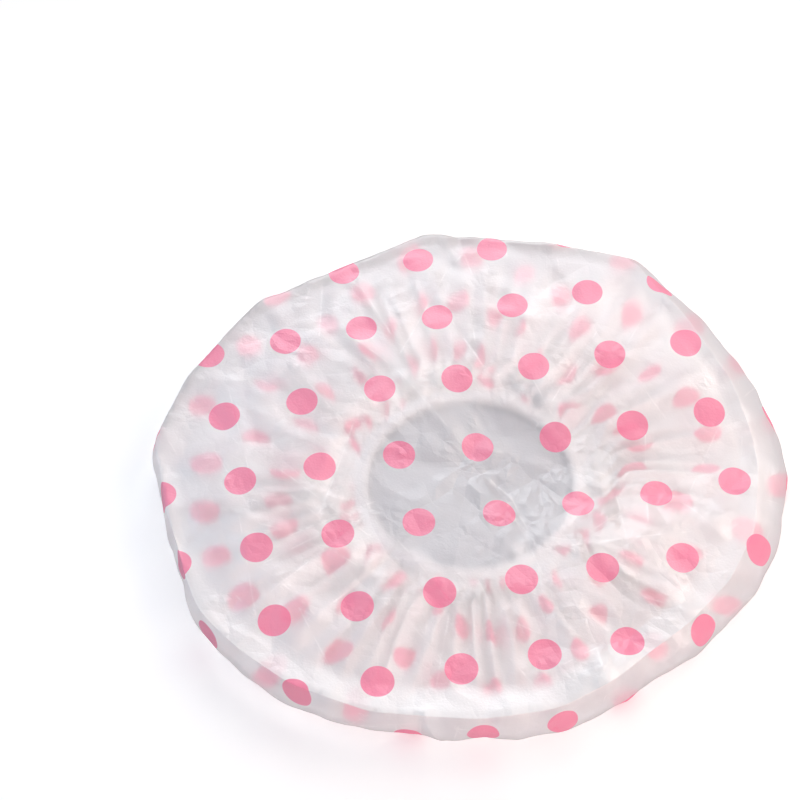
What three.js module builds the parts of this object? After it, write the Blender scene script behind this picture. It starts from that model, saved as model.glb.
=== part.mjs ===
// A shower cap: one disc of soft film, gathered at its edge into a bound elastic mouth.
// Lengths are millimetres and angles are radians. +Z is up, -Y is the front of the cap.
// The cap lies on the plane z = 0 with its crown up and its mouth down, and the origin is
// below the middle of its outline.

import * as THREE from "three";

// Driving dimensions of the outline, and of the crown over it
const capWidth = 284;
const capDepth = 258;
const rimHeight = 22;
const crownSwell = 3.5;
const crownDip = 8;

// The mouth: the clear oval inside the binding, and where its middle lies
const mouthWidth = 92;
const mouthDepth = 88;
const mouthForward = 3;

// Film
const filmWall = 0.6;
const pleatHeight = 10;
const pleatCount = 24;
const rimFoot = 5;
const soleWidth = 7;

// Binding, elastic and thread
const tapeWall = 0.5;
const lipLength = 2.2;
const elasticWidth = 2.6;
const elasticHeight = 2.4;
const threadThickness = 0.3;
const seatGap = 0.3;

// The tab at the join of the tape
const tabLength = 7;
const tabWidth = 6;
const tabFoldGap = 0.5;
const tabAngle = -Math.PI / 3;
const tackInset = 1.4;

// How far the rim reaches, every 15 degrees counterclockwise from +X, as shares of half the
// cap's width or depth, before the outline is fitted to those two sizes
const rimReachShares = [
  1.0, 0.98, 0.97, 0.985, 1.03, 1.0, 0.99, 0.98, 0.95, 0.965, 0.955, 0.975,
  0.99, 0.965, 0.995, 1.01, 1.025, 1.01, 1.0, 1.0, 0.98, 0.965, 0.985, 0.995,
];

// How high the rim's upper fold stands, every 45 degrees from +X, as shares of the rim's height
const rimHeightShares = [0.95, 1.28, 1.08, 1.0, 0.96, 1.0, 1.02, 0.98];

// The crown's rings, from its middle to the rim's fold, as shares of the rim's reach
const crownRingShares = [0.3, 0.55, 0.78, 0.92];

// The wall of the rim, from its upper fold to its belly: [share of the reach, share of the height]
const rimRingShares = [[0.985, 0.96], [1.0, 0.72], [0.995, 0.32]];

// The pleated skirt, from the sole to the mouth: [share of the way, share of the pleats' height]
const skirtRingShares = [[0.3, 0.45], [0.58, 0.85], [0.84, 1.0]];

// Where the crown sinks, as shares of half the cap's width and depth, and how widely
const dipPlaceShares = [0.4, 0];
const dipSpreadShares = [0.5, 0.28];

const stations = 2 * pleatCount;
const ringHeight = elasticHeight + 2 * (tapeWall + seatGap);
const ringMiddle = ringHeight / 2;
const bulgeWidth = elasticWidth + 2 * (tapeWall + seatGap);
const bindingWidth = bulgeWidth + lipLength;
const lipGap = filmWall + 2 * seatGap;
const lipHeight = lipGap + 2 * tapeWall;

const filmMaterial = new THREE.MeshStandardMaterial({
  name: "milky_film", color: 0xece6ee, roughness: 0.38, metalness: 0,
});
const tapeMaterial = new THREE.MeshStandardMaterial({
  name: "white_tape", color: 0xf7f7f5, roughness: 0.9, metalness: 0,
});
const elasticMaterial = new THREE.MeshStandardMaterial({
  name: "white_elastic", color: 0xefefec, roughness: 0.8, metalness: 0,
});
const threadMaterial = new THREE.MeshStandardMaterial({
  name: "white_thread", color: 0xfafafa, roughness: 0.6, metalness: 0,
});

// Value of a closed row of numbers at a place between them, on a smooth curve
function smoothShare(shares, place) {
  const count = shares.length;
  const start = Math.floor(place);
  const along = place - start;
  const at = (k) => shares[(((start + k) % count) + count) % count];
  const slopeIn = (at(1) - at(-1)) / 2;
  const slopeOut = (at(2) - at(0)) / 2;
  const rise = at(1) - at(0);
  const bend = 3 * rise - 2 * slopeIn - slopeOut;
  const twist = slopeIn + slopeOut - 2 * rise;
  return at(0) + slopeIn * along + bend * along ** 2 + twist * along ** 3;
}

function shareAround(shares, angle) {
  return smoothShare(shares, (angle / (2 * Math.PI)) * shares.length);
}

// The rim's outline seen from above, one point a station, fitted to the cap's width and depth
function rimOutline() {
  const points = Array.from({ length: stations }, (_, index) => {
    const angle = (2 * Math.PI * index) / stations;
    const share = shareAround(rimReachShares, angle);
    return new THREE.Vector3(share * Math.cos(angle), share * Math.sin(angle), 0);
  });
  const box = new THREE.Box3().setFromPoints(points);
  const middle = box.getCenter(new THREE.Vector3());
  const size = box.getSize(new THREE.Vector3());
  const across = (capWidth - filmWall) / size.x;
  const deep = (capDepth - filmWall) / size.y;
  for (const point of points) point.sub(middle).multiply(new THREE.Vector3(across, deep, 1));
  return points;
}

// A point outside the mouth's clear oval by the given distance, square to the oval
function mouthPoint(angle, outward, height) {
  const across = mouthWidth / 2;
  const deep = mouthDepth / 2;
  const square = new THREE.Vector2(deep * Math.cos(angle), across * Math.sin(angle)).normalize();
  return new THREE.Vector3(
    across * Math.cos(angle) + outward * square.x,
    deep * Math.sin(angle) + outward * square.y - mouthForward,
    height,
  );
}

// Height of the film's middle over a point of the crown, given the height of the rim beside it
// and the point's share of the rim's reach
function crownHeight(point, reachShare, rimTop) {
  const swell = crownSwell * (1 - reachShare ** 6);
  const acrossShare = (2 * point.x) / capWidth - dipPlaceShares[0];
  const deepShare = (2 * point.y) / capDepth - dipPlaceShares[1];
  const far = (acrossShare / dipSpreadShares[0]) ** 2 + (deepShare / dipSpreadShares[1]) ** 2;
  const slope = (rimTop - rimHeight) * reachShare ** 2;
  return rimHeight + slope + swell - crownDip * Math.exp(-far);
}

// The film's middle surface at one station round the cap, from the crown outward and back in
// under it to the mouth. Every second station is the ridge of a pleat.
function filmStation(rim, index) {
  const angle = (2 * Math.PI * index) / stations;
  const ridge = index % 2;
  const rimTop = rimHeight * shareAround(rimHeightShares, angle);
  const points = [];
  for (const share of crownRingShares) {
    const point = rim.clone().multiplyScalar(share);
    points.push(point.setZ(crownHeight(point, share, rimTop)));
  }
  for (const [reachShare, heightShare] of rimRingShares) {
    points.push(rim.clone().multiplyScalar(reachShare).setZ(heightShare * rimTop));
  }
  const inward = rim.clone().normalize();
  const foot = rim.clone().addScaledVector(inward, -rimFoot).setZ(filmWall / 2);
  const sole = foot.clone().addScaledVector(inward, -soleWidth);
  points.push(foot, sole);
  const entry = mouthPoint(angle, bindingWidth + filmWall, ringMiddle);
  for (const [wayShare, pleatShare] of skirtRingShares) {
    const point = sole.clone().lerp(entry, wayShare);
    point.z += ridge * pleatShare * pleatHeight;
    points.push(point);
  }
  points.push(entry, mouthPoint(angle, bulgeWidth + seatGap, ringMiddle));
  return points;
}

// The film as one closed shell: the middle surface moved out and in by half the wall
function filmGeometry() {
  const rows = rimOutline().map(filmStation);
  const rings = rows[0].length;
  const middle = new THREE.Vector3(0, 0, crownHeight(new THREE.Vector3(), 0, rimHeight));
  const at = (row, ring) => (ring < 0 ? middle : rows[(row + stations) % stations][ring]);
  const soleRing = crownRingShares.length + rimRingShares.length;
  const outer = [];
  const inner = [];
  for (let row = 0; row < stations; row += 1) {
    for (let ring = 0; ring < rings; ring += 1) {
      const point = at(row, ring);
      const round = at(row + 1, ring).clone().sub(at(row - 1, ring));
      const along = at(row, Math.min(ring + 1, rings - 1)).clone().sub(at(row, ring - 1));
      const square = along.cross(round).normalize();
      if (ring === soleRing || ring === soleRing + 1) square.set(0, 0, -1);
      outer.push(point.clone().addScaledVector(square, filmWall / 2));
      inner.push(point.clone().addScaledVector(square, -filmWall / 2));
    }
  }
  const crownTop = middle.clone().setZ(middle.z + filmWall / 2);
  const crownUnder = middle.clone().setZ(middle.z - filmWall / 2);
  const vertices = [...outer, ...inner, crownTop, crownUnder];
  const faces = [];
  const underside = stations * rings;
  const corner = (row, ring, side) => side + ((row + stations) % stations) * rings + ring;
  for (let row = 0; row < stations; row += 1) {
    faces.push(2 * underside, corner(row, 0, 0), corner(row + 1, 0, 0));
    faces.push(2 * underside + 1, corner(row + 1, 0, underside), corner(row, 0, underside));
    for (let ring = 0; ring < rings - 1; ring += 1) {
      const [a, b] = [corner(row, ring, 0), corner(row + 1, ring, 0)];
      const [c, d] = [corner(row, ring + 1, 0), corner(row + 1, ring + 1, 0)];
      const pair = row % 2 ? [[a, c, d], [a, d, b]] : [[a, c, b], [b, c, d]];
      for (const [first, second, third] of pair) {
        faces.push(first, second, third);
        faces.push(first + underside, third + underside, second + underside);
      }
    }
    const [e, f] = [corner(row, rings - 1, 0), corner(row + 1, rings - 1, 0)];
    faces.push(e, e + underside, f, f, e + underside, f + underside);
  }
  return closedGeometry(vertices, faces);
}

// A ring that follows the mouth, from a section of [outward, height] points that run
// counterclockwise
function mouthRingGeometry(section) {
  const vertices = [];
  const faces = [];
  const sides = section.length;
  for (let row = 0; row < stations; row += 1) {
    const angle = (2 * Math.PI * row) / stations;
    for (const [outward, height] of section) vertices.push(mouthPoint(angle, outward, height));
    for (let side = 0; side < sides; side += 1) {
      const next = ((row + 1) % stations) * sides;
      const [a, b] = [row * sides + side, row * sides + ((side + 1) % sides)];
      const [c, d] = [next + side, next + ((side + 1) % sides)];
      faces.push(a, c, b, b, c, d);
    }
  }
  return closedGeometry(vertices, faces);
}

function closedGeometry(vertices, faces) {
  const geometry = new THREE.BufferGeometry();
  geometry.setFromPoints(vertices);
  geometry.setIndex(faces);
  geometry.computeVertexNormals();
  return geometry;
}

// Section of a round ring with the given width and height, with its middle at the given place
function ovalSection(outward, height, width, tall, sides) {
  return Array.from({ length: sides }, (_, side) => {
    const angle = (2 * Math.PI * (side + 0.5)) / sides;
    return [outward + (width / 2) * Math.cos(angle), height + (tall / 2) * Math.sin(angle)];
  });
}

// The tape folded round the elastic, pinched to two lips that hold the film's gathered edge.
// The section is open between the lips, on the side away from the mouth.
function bindingSection() {
  const chamfer = tapeWall + seatGap;
  const cavityEnd = bulgeWidth - tapeWall;
  const upper = [
    [bindingWidth, lipGap / 2],
    [bindingWidth, lipHeight / 2],
    [bulgeWidth, lipHeight / 2],
    [bulgeWidth - chamfer, ringMiddle],
    [chamfer, ringMiddle],
    [0, ringMiddle - chamfer],
  ];
  const cavity = [
    [tapeWall, ringMiddle - tapeWall],
    [cavityEnd - chamfer, ringMiddle - tapeWall],
    [cavityEnd, lipGap / 2],
  ];
  const lift = ([outward, height]) => [outward, ringMiddle + height];
  const sink = ([outward, height]) => [outward, ringMiddle - height];
  return [
    ...upper.map(lift),
    ...upper.map(sink).reverse(),
    ...cavity.map(sink).reverse(),
    ...cavity.map(lift),
  ];
}

// One thread of the seam, laid along the middle of a lip. Side is 1 above and -1 below.
function seamThreadSection(side) {
  const offset = lipHeight / 2 + seatGap + threadThickness / 2;
  const outward = bulgeWidth + lipLength / 2;
  return ovalSection(outward, ringMiddle + side * offset, threadThickness, threadThickness, 4);
}

// Turns a shape drawn with x into the mouth and y up, and stands it at the tab's place
function placeAtTab(mesh, inward) {
  const edge = mouthPoint(tabAngle, 0, ringMiddle);
  const out = mouthPoint(tabAngle, 1, ringMiddle).sub(edge);
  mesh.rotation.order = "ZYX";
  mesh.rotation.set(Math.PI / 2, 0, Math.atan2(-out.y, -out.x));
  mesh.position.copy(edge.addScaledVector(out, -inward));
}

// The end of the tape, folded under on itself, seen from the side as a hairpin
function tabGeometry() {
  const outer = tapeWall + tabFoldGap / 2;
  const inner = tabFoldGap / 2;
  const bendStart = tabLength - outer;
  const shape = new THREE.Shape();
  shape.moveTo(0, outer);
  shape.lineTo(0, inner);
  shape.lineTo(bendStart, inner);
  shape.absarc(bendStart, 0, inner, Math.PI / 2, -Math.PI / 2, true);
  shape.lineTo(0, -inner);
  shape.lineTo(0, -outer);
  shape.lineTo(bendStart, -outer);
  shape.absarc(bendStart, 0, outer, -Math.PI / 2, Math.PI / 2, false);
  const geometry = new THREE.ExtrudeGeometry(shape, {
    depth: tabWidth, bevelEnabled: false, curveSegments: 6,
  });
  return geometry.translate(0, 0, -tabWidth / 2);
}

// The tack: one loop of thread round the folded tab, near its root
function tackGeometry() {
  const clear = { across: tabWidth / 2 + seatGap, up: tapeWall + tabFoldGap / 2 + seatGap };
  const shape = new THREE.Shape();
  const hole = new THREE.Path();
  const loop = (path, grow) => {
    path.moveTo(-clear.across - grow, -clear.up - grow);
    path.lineTo(clear.across + grow, -clear.up - grow);
    path.lineTo(clear.across + grow, clear.up + grow);
    path.lineTo(-clear.across - grow, clear.up + grow);
    path.closePath();
  };
  loop(shape, threadThickness);
  loop(hole, 0);
  shape.holes.push(hole);
  const geometry = new THREE.ExtrudeGeometry(shape, { depth: threadThickness, bevelEnabled: false });
  return geometry.translate(0, 0, -threadThickness / 2).rotateY(Math.PI / 2);
}

function namedMesh(name, geometry, material) {
  const mesh = new THREE.Mesh(geometry, material);
  mesh.name = name;
  return mesh;
}

const group = new THREE.Group();
group.add(namedMesh("printed_film", filmGeometry(), filmMaterial));
group.add(namedMesh("binding_tape", mouthRingGeometry(bindingSection()), tapeMaterial));

const elasticPlace = tapeWall + seatGap + elasticWidth / 2;
const elasticSection = ovalSection(elasticPlace, ringMiddle, elasticWidth, elasticHeight, 8);
group.add(namedMesh("elastic_band", mouthRingGeometry(elasticSection), elasticMaterial));

group.add(namedMesh("needle_thread", mouthRingGeometry(seamThreadSection(1)), threadMaterial));
group.add(namedMesh("bobbin_thread", mouthRingGeometry(seamThreadSection(-1)), threadMaterial));

const tab = namedMesh("binding_join_tab", tabGeometry(), tapeMaterial);
placeAtTab(tab, seatGap);
group.add(tab);

const tack = namedMesh("join_tack_thread", tackGeometry(), threadMaterial);
placeAtTab(tack, seatGap + tackInset);
group.add(tack);

export default group;
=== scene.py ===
# %% [markdown]
# # A gathered shower cap, dressed round its CAD model
#
# The cap is one disc of thin milky film, printed with pink dots. Its edge is gathered on
# elastic and bound in white tape. It lies crown up, so the crown shows first, and the
# gathered skirt shows through it from below.
#
# The CAD model fixes where every piece is. This file makes each piece again with the
# surface that the eye expects, in the same place and at the same size.

# %% Load the frame
import math

import bmesh
import bpy
import numpy as np
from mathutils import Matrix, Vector
from mathutils.geometry import delaunay_2d_cdt


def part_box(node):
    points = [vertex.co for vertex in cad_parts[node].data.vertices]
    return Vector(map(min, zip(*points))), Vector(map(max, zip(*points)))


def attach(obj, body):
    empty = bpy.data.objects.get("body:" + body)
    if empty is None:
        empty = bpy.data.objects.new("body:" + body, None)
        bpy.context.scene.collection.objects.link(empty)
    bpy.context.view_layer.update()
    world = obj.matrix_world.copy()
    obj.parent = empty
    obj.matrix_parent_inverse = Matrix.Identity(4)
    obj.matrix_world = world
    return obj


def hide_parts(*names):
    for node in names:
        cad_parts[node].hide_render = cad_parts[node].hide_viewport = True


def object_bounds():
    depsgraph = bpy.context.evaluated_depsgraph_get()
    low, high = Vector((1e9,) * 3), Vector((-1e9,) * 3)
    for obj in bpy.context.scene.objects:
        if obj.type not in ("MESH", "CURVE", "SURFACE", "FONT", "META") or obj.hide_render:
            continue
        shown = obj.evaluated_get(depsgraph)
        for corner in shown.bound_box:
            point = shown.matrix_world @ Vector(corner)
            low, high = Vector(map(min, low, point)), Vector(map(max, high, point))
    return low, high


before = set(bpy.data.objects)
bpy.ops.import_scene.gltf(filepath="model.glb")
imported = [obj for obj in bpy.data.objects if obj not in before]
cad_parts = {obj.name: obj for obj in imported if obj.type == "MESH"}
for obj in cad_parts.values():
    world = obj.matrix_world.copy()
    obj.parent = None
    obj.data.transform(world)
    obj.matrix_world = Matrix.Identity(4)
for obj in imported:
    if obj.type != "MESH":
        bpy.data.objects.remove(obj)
cad_low, cad_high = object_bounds()
MM = 0.001
cap_width, cap_depth, cap_height = (side / MM for side in cad_high - cad_low)
print(f"CAD box: {cap_width:.1f} x {cap_depth:.1f} x {cap_height:.1f} mm")

# %% [markdown]
# # The camera
#
# A picture of flat rows of dots tells how steeply the camera looks down: the rows close up
# as the angle gets flatter. Here they give 58.5 degrees above the table. A long lens, far
# away, keeps the outline's near and far halves almost alike. The cap doesn't sit in the
# middle of the picture, and lens shift moves it there without tilting the view.

# %% Camera
CAMERA_ELEVATION = math.radians(58.5)
CAMERA_DISTANCE = 870
CAMERA_TARGET = (0.9, -9.9, 12.0)
CAMERA_LENS = 88
CAMERA_SHIFT = (-0.09, 0.11)


def linked(name, data):
    """A new object of the scene, left at the origin."""
    made = bpy.data.objects.new(name, data)
    bpy.context.scene.collection.objects.link(made)
    return made


def pointed(name, data, place, facing):
    """A camera or a lamp at a place in metres, turned to face one way."""
    made = linked(name, data)
    made.location = place
    made.rotation_mode = "QUATERNION"
    made.rotation_quaternion = facing.to_track_quat("-Z", "Y")
    return made


camera_data = bpy.data.cameras.new("camera")
camera_data.lens = CAMERA_LENS
camera_data.shift_x, camera_data.shift_y = CAMERA_SHIFT
camera_back = Vector((0, -math.cos(CAMERA_ELEVATION), math.sin(CAMERA_ELEVATION)))
camera_place = (Vector(CAMERA_TARGET) + camera_back * CAMERA_DISTANCE) * MM
camera = pointed("camera", camera_data, camera_place, -camera_back)
bpy.context.scene.camera = camera
print("camera at", [round(value, 3) for value in camera.location])

# %% [markdown]
# # Sizes that the pieces share
#
# The mouth is an oval ring, and everything at the edge of the film is measured outward from
# its clear inner edge. The box of the CAD tape gives the ring's size and place. The tape's
# width and the bulge that the elastic makes in it repeat the values it was drawn with.

# %% Shared sizes, in millimetres
BINDING_WIDTH = 6.4
BULGE_WIDTH = 4.2
tape_low, tape_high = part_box("binding_tape")
RING_MIDDLE = (tape_high.z - tape_low.z) / MM / 2
MOUTH_HALF_WIDTH = (tape_high.x - tape_low.x) / MM / 2 - BINDING_WIDTH
MOUTH_HALF_DEPTH = (tape_high.y - tape_low.y) / MM / 2 - BINDING_WIDTH
MOUTH_MIDDLE_Y = (tape_high.y + tape_low.y) / MM / 2
print(f"mouth {2 * MOUTH_HALF_WIDTH:.1f} x {2 * MOUTH_HALF_DEPTH:.1f} mm, at y {MOUTH_MIDDLE_Y:.1f}")


def mouth_points(angles, outward, height):
    """Points at a distance outside the mouth's clear oval, square to the oval."""
    across = MOUTH_HALF_DEPTH * np.cos(angles)
    deep = MOUTH_HALF_WIDTH * np.sin(angles)
    length = np.hypot(across, deep)
    x = MOUTH_HALF_WIDTH * np.cos(angles) + outward * across / length
    y = MOUTH_HALF_DEPTH * np.sin(angles) + outward * deep / length + MOUTH_MIDDLE_Y
    return np.stack([x, y, np.broadcast_to(height, x.shape)], axis=-1)


# %% [markdown]
# # Three helpers for shapes
#
# Much of the cap fades from one rule into another, past a fold or near the cut edge. `ramp`
# tells how far a value has come on its way between two places. `unit` gives directions a
# length of one, and `heading` turns an angle round the cap into a direction.

# %% Helpers for shapes
TURN = 2 * np.pi


def ramp(values, start, end):
    """0 before start, 1 past end, and straight in between. The end may be the lower one."""
    return np.clip((values - start) / (end - start), 0, 1)


def unit(vectors):
    return vectors / np.maximum(np.linalg.norm(vectors, axis=-1, keepdims=True), 1e-9)


def heading(angles):
    return np.stack([np.cos(angles), np.sin(angles)], axis=-1)


print("3 mm into a fade of 12 mm is a share of", ramp(3, 0, 12))

# %% [markdown]
# # The film, step 1: a flat disc
#
# Film doesn't stretch, so it is drawn first as the flat disc that it was cut from, and then
# folded up. A disc of rings, with six more points in each ring than in the one inside it,
# has triangles of nearly one size everywhere, so creases come out alike in all directions.

# %% Flat disc
DISC_RADIUS = 246.0
DISC_RINGS = 164


def ring_disc(rings):
    """Ring number and angle of each point of a disc, and its triangles, seen from above."""
    ring = np.concatenate([[0], np.repeat(np.arange(1, rings + 1), 6 * np.arange(1, rings + 1))])
    first = np.concatenate([[0], 1 + 3 * np.arange(rings + 1) * np.arange(1, rings + 2)])
    angle = TURN * (np.arange(len(ring)) - first[ring]) / np.maximum(6 * ring, 1)
    triangles = []
    for k in range(1, rings + 1):
        sector, step = np.divmod(np.arange(6 * k), k)
        outer = first[k] + sector * k + step
        outer_next = first[k] + (sector * k + step + 1) % (6 * k)
        inner_count = max(6 * (k - 1), 1)
        inner = first[k - 1] + (sector * (k - 1) + step) % inner_count
        inner_next = first[k - 1] + (sector * (k - 1) + step + 1) % inner_count
        triangles.append(np.stack([inner, outer, outer_next], axis=-1))
        triangles.append(np.stack([inner, outer_next, inner_next], axis=-1)[step < k - 1])
    return ring, angle, np.concatenate(triangles)


disc_ring, disc_angle, disc_triangles = ring_disc(DISC_RINGS)
disc_reach = DISC_RADIUS * disc_ring / DISC_RINGS
print(len(disc_ring), "points and", len(disc_triangles), "triangles in the flat disc")

# %% [markdown]
# # The film, step 2: values that change round the cap
#
# Seen in section, the film runs flat over the crown, turns down at the rim's fold, bellies
# out, tucks under at the foot and comes back along the table to the mouth. One section
# turned round the middle would be too even for slack film. So each direction gets its own,
# and its sizes come from a few values at even steps round the cap, joined by the smoothest
# closed curve through them, which is a sum of waves.

# %% Values round the cap
COLUMNS = 720
column_angle = np.linspace(0, TURN, COLUMNS, endpoint=False)


def around(shares):
    """A smooth closed curve through values given at even steps round the cap."""
    count = len(shares)
    place = column_angle / TURN * count
    value = np.zeros(COLUMNS)
    for harmonic in range(count // 2 + 1):
        weight = 1 if harmonic in (0, count / 2) else 2
        wave = np.exp(-2j * np.pi * harmonic * np.arange(count) / count)
        share = weight * np.dot(shares, wave) / count
        value += np.real(share * np.exp(2j * np.pi * harmonic * place / count))
    return value


def smooth(values, width, closed=False):
    """Values averaged along their first axis with a bell-shaped weight of that width."""
    reach = int(math.ceil(3 * width))
    weight = np.exp(-0.5 * (np.arange(-reach, reach + 1) / width) ** 2)
    weight /= weight.sum()
    pads = [(reach, reach)] + [(0, 0)] * (values.ndim - 1)
    padded = np.pad(values, pads, mode="wrap" if closed else "edge")
    return sum(w * padded[i:i + len(values)] for i, w in enumerate(weight))


print("three values round the cap:", around([0, 1, 2])[:: COLUMNS // 3].round(3))

# %% [markdown]
# # The film, step 3: the rim's outline
#
# The rim isn't round: it has straight stretches with soft corners. Its corners are given as
# shares of the cap's half width and half depth. Straight lines join them, and a little
# smoothing rounds them off.

# %% Rim outline
RIM_CORNER_SHARES = [
    (1.0, -0.026), (0.983, 0.151), (0.933, 0.352), (0.854, 0.497), (0.77, 0.645),
    (0.667, 0.766), (0.583, 0.897), (0.374, 0.95), (0.033, 0.991), (-0.185, 1.0),
    (-0.235, 0.95), (-0.432, 0.84), (-0.61, 0.731), (-0.697, 0.688), (-0.798, 0.539),
    (-0.91, 0.349), (-1.0, 0.064), (-0.978, -0.026), (-0.959, -0.123), (-0.904, -0.349),
    (-0.831, -0.569), (-0.765, -0.658), (-0.686, -0.746), (-0.532, -0.868),
    (-0.294, -0.97), (0.029, -1.0), (0.265, -0.97), (0.444, -0.868), (0.69, -0.675),
    (0.84, -0.514), (0.954, -0.294),
]
CORNER_STEPS = 24
CORNER_ROUNDING_DEGREES = 2.0


def rim_reach():
    """How far the rim reaches at each column, from the corners of its outline."""
    corners = np.array(RIM_CORNER_SHARES + RIM_CORNER_SHARES[:1])
    way = np.linspace(0, 1, CORNER_STEPS, endpoint=False)[None, :, None]
    outline = corners[:-1, None] * (1 - way) + corners[1:, None] * way
    outline = outline.reshape(-1, 2) * [cap_width / 2, cap_depth / 2]
    angle = np.arctan2(outline[:, 1], outline[:, 0])
    reach = np.hypot(outline[:, 0], outline[:, 1])
    order = np.argsort(angle)
    reach = np.interp(column_angle, angle[order], reach[order], period=TURN)
    return smooth(reach, CORNER_ROUNDING_DEGREES * COLUMNS / 360, closed=True)


belly_reach = rim_reach()
print(f"the rim reaches {belly_reach.min():.0f} to {belly_reach.max():.0f} mm from the middle")

# %% [markdown]
# # The film, step 4: the crown
#
# Nothing carries the crown but its own stiffness, so it swells a little, and sinks into a
# wide dip to the right of the mouth. Its height is a plain formula of the place: a level
# rim, a slope where the rim is higher or lower, a swell that is flat on top, and one dip.

# %% Height of the crown
RIM_HEIGHT = 22
RIM_HEIGHT_SHARES = [0.95, 1.28, 1.08, 1.0, 0.96, 1.0, 1.02, 0.98]
CROWN_SWELL = 3.5
SWELL_POWER = 6
CROWN_DIP = 8
DIP_PLACE_SHARES = (0.4, 0.0)
DIP_SPREAD_SHARES = (0.5, 0.28)
rim_top = RIM_HEIGHT * around(RIM_HEIGHT_SHARES)


def crown_height(x, y, reach_share):
    """Height of the crown at places given by column, reach_share of the way to the fold."""
    swell = CROWN_SWELL * (1 - reach_share ** SWELL_POWER)
    across = (2 * x / cap_width - DIP_PLACE_SHARES[0]) / DIP_SPREAD_SHARES[0]
    deep = (2 * y / cap_depth - DIP_PLACE_SHARES[1]) / DIP_SPREAD_SHARES[1]
    slope = (rim_top - RIM_HEIGHT) * reach_share ** 2
    return RIM_HEIGHT + slope + swell - CROWN_DIP * np.exp(-across ** 2 - deep ** 2)


print(f"rim's top at {rim_top.min():.1f} to {rim_top.max():.1f} mm")

# %% [markdown]
# # The film, step 5: where a section turns
#
# Below the crown a section is straight pieces between turning points: the fold, the chest
# and the belly of the wall, the foot, and the two places where the tape takes the film. The
# points are set in space, and the distances between them say how much film each piece uses.
# What is left for the skirt then goes into its pleats.

# %% Turning points of the sections
FOLD_INSET = 14
FOLD_INSET_SHARES = [1.0, 0.9, 0.35, 0.15, 0.1, 0.12, 0.14, 0.5]
CHEST_INSET_SHARE = 0.3
CHEST_HEIGHT_SHARE = 0.62
BELLY_HEIGHT_SHARE = 0.22
FOOT_TUCK = 6
FLOOR_GAP = 0.25
ENTRY_GAP = 0.6
LIP_GAP = 0.3
column_way = heading(column_angle)
inset = FOLD_INSET * around(FOLD_INSET_SHARES)
fold_at = belly_reach - inset
fold_top = crown_height(*(column_way * fold_at[:, None]).T, 1.0)


def turning_point(distance, height):
    """A point for each column, at a distance from the middle."""
    return np.column_stack([column_way * distance[:, None], np.broadcast_to(height, COLUMNS)])


fold = turning_point(fold_at, fold_top)
chest = turning_point(belly_reach - CHEST_INSET_SHARE * inset, CHEST_HEIGHT_SHARE * fold_top)
belly = turning_point(belly_reach, BELLY_HEIGHT_SHARE * fold_top)
foot = turning_point(belly_reach - FOOT_TUCK, FLOOR_GAP)
entry = mouth_points(column_angle, BINDING_WIDTH + ENTRY_GAP, RING_MIDDLE)
lip = mouth_points(column_angle, BULGE_WIDTH + LIP_GAP, RING_MIDDLE)
chest_at = fold_at + np.linalg.norm(chest - fold, axis=1)
belly_at = chest_at + np.linalg.norm(belly - chest, axis=1)
foot_at = belly_at + np.linalg.norm(foot - belly, axis=1)
lip_at = np.full(COLUMNS, DISC_RADIUS)
entry_at = lip_at - np.linalg.norm(entry - lip, axis=1)
print(f"rim fold at {fold_at.min():.0f} to {fold_at.max():.0f} mm, foot at {foot_at.min():.0f} "
      f"to {foot_at.max():.0f} mm of {DISC_RADIUS:.0f} mm")

# %% [markdown]
# # The film, step 6: all sections in one grid
#
# The sections stand side by side in a grid, a row for each place along the film and a
# column for each direction. Along the rim, where the doubled film is stiffer, a low bead
# stands above a crown that is sunk a little behind it. At the end the corners are rounded,
# the fold hardly and the foot much more, and the outline is fitted to the CAD box, because
# rounding draws it in.

# %% Grid of sections
SECTION_STEP = 0.75
FOLD_BEAD = 1.6
FOLD_BEAD_SHARES = [0.9, 0.7, 0.5, 0.5, 0.8, 1.6, 3.0, 1.9]
FOLD_BEAD_REACH_SHARES = (0.35, 0.85)
BEAD_POWER = 1.25
CROWN_SINK = 0.3
FLANK_WIDTH = 9
FLANK_WIDTH_SHARES = [0.7, 0.7, 0.8, 0.8, 0.8, 1.2, 1.7, 1.3]
FOLD_ROUNDING = 0.5
FOOT_ROUNDING = 4.0
FOLD_MARGIN = 6
FIT_FADE = 30
section_places = np.arange(0, DISC_RADIUS + SECTION_STEP, SECTION_STEP)
down_section = section_places[:, None]


def crown_rows():
    """The crown's rows of the grid, up to the fold and beyond, with its bead."""
    flat = down_section[..., None] * column_way
    share = down_section / fold_at
    height = crown_height(flat[..., 0], flat[..., 1], np.minimum(share, 1))
    bead = FOLD_BEAD * around(FOLD_BEAD_SHARES)
    flank = ramp(down_section, fold_at - FLANK_WIDTH * around(FLANK_WIDTH_SHARES), fold_at)
    own = ramp(share, *FOLD_BEAD_REACH_SHARES)
    sunk = CROWN_SINK + (bead - CROWN_SINK) * own ** 2 * (3 - 2 * own)
    height += bead * flank ** BEAD_POWER - sunk
    return np.concatenate([flat, height[..., None]], axis=-1), share <= 1


def section_grid():
    """Points of the film without its pleats, by place along the film and by column."""
    grid = np.zeros((len(section_places), COLUMNS, 3))
    turns = [(fold_at, fold), (chest_at, chest), (belly_at, belly), (foot_at, foot),
             (entry_at, entry), (lip_at, lip)]
    for (start, low), (end, high) in zip(turns, turns[1:]):
        way = (down_section - start) / (end - start)
        inside = (way >= 0) & (way <= 1)
        grid = np.where(inside[..., None], low + way[..., None] * (high - low), grid)
    crown, on_crown = crown_rows()
    grid = np.where(on_crown[..., None], crown, grid)
    return np.where((down_section > DISC_RADIUS)[..., None], lip, grid)


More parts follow.
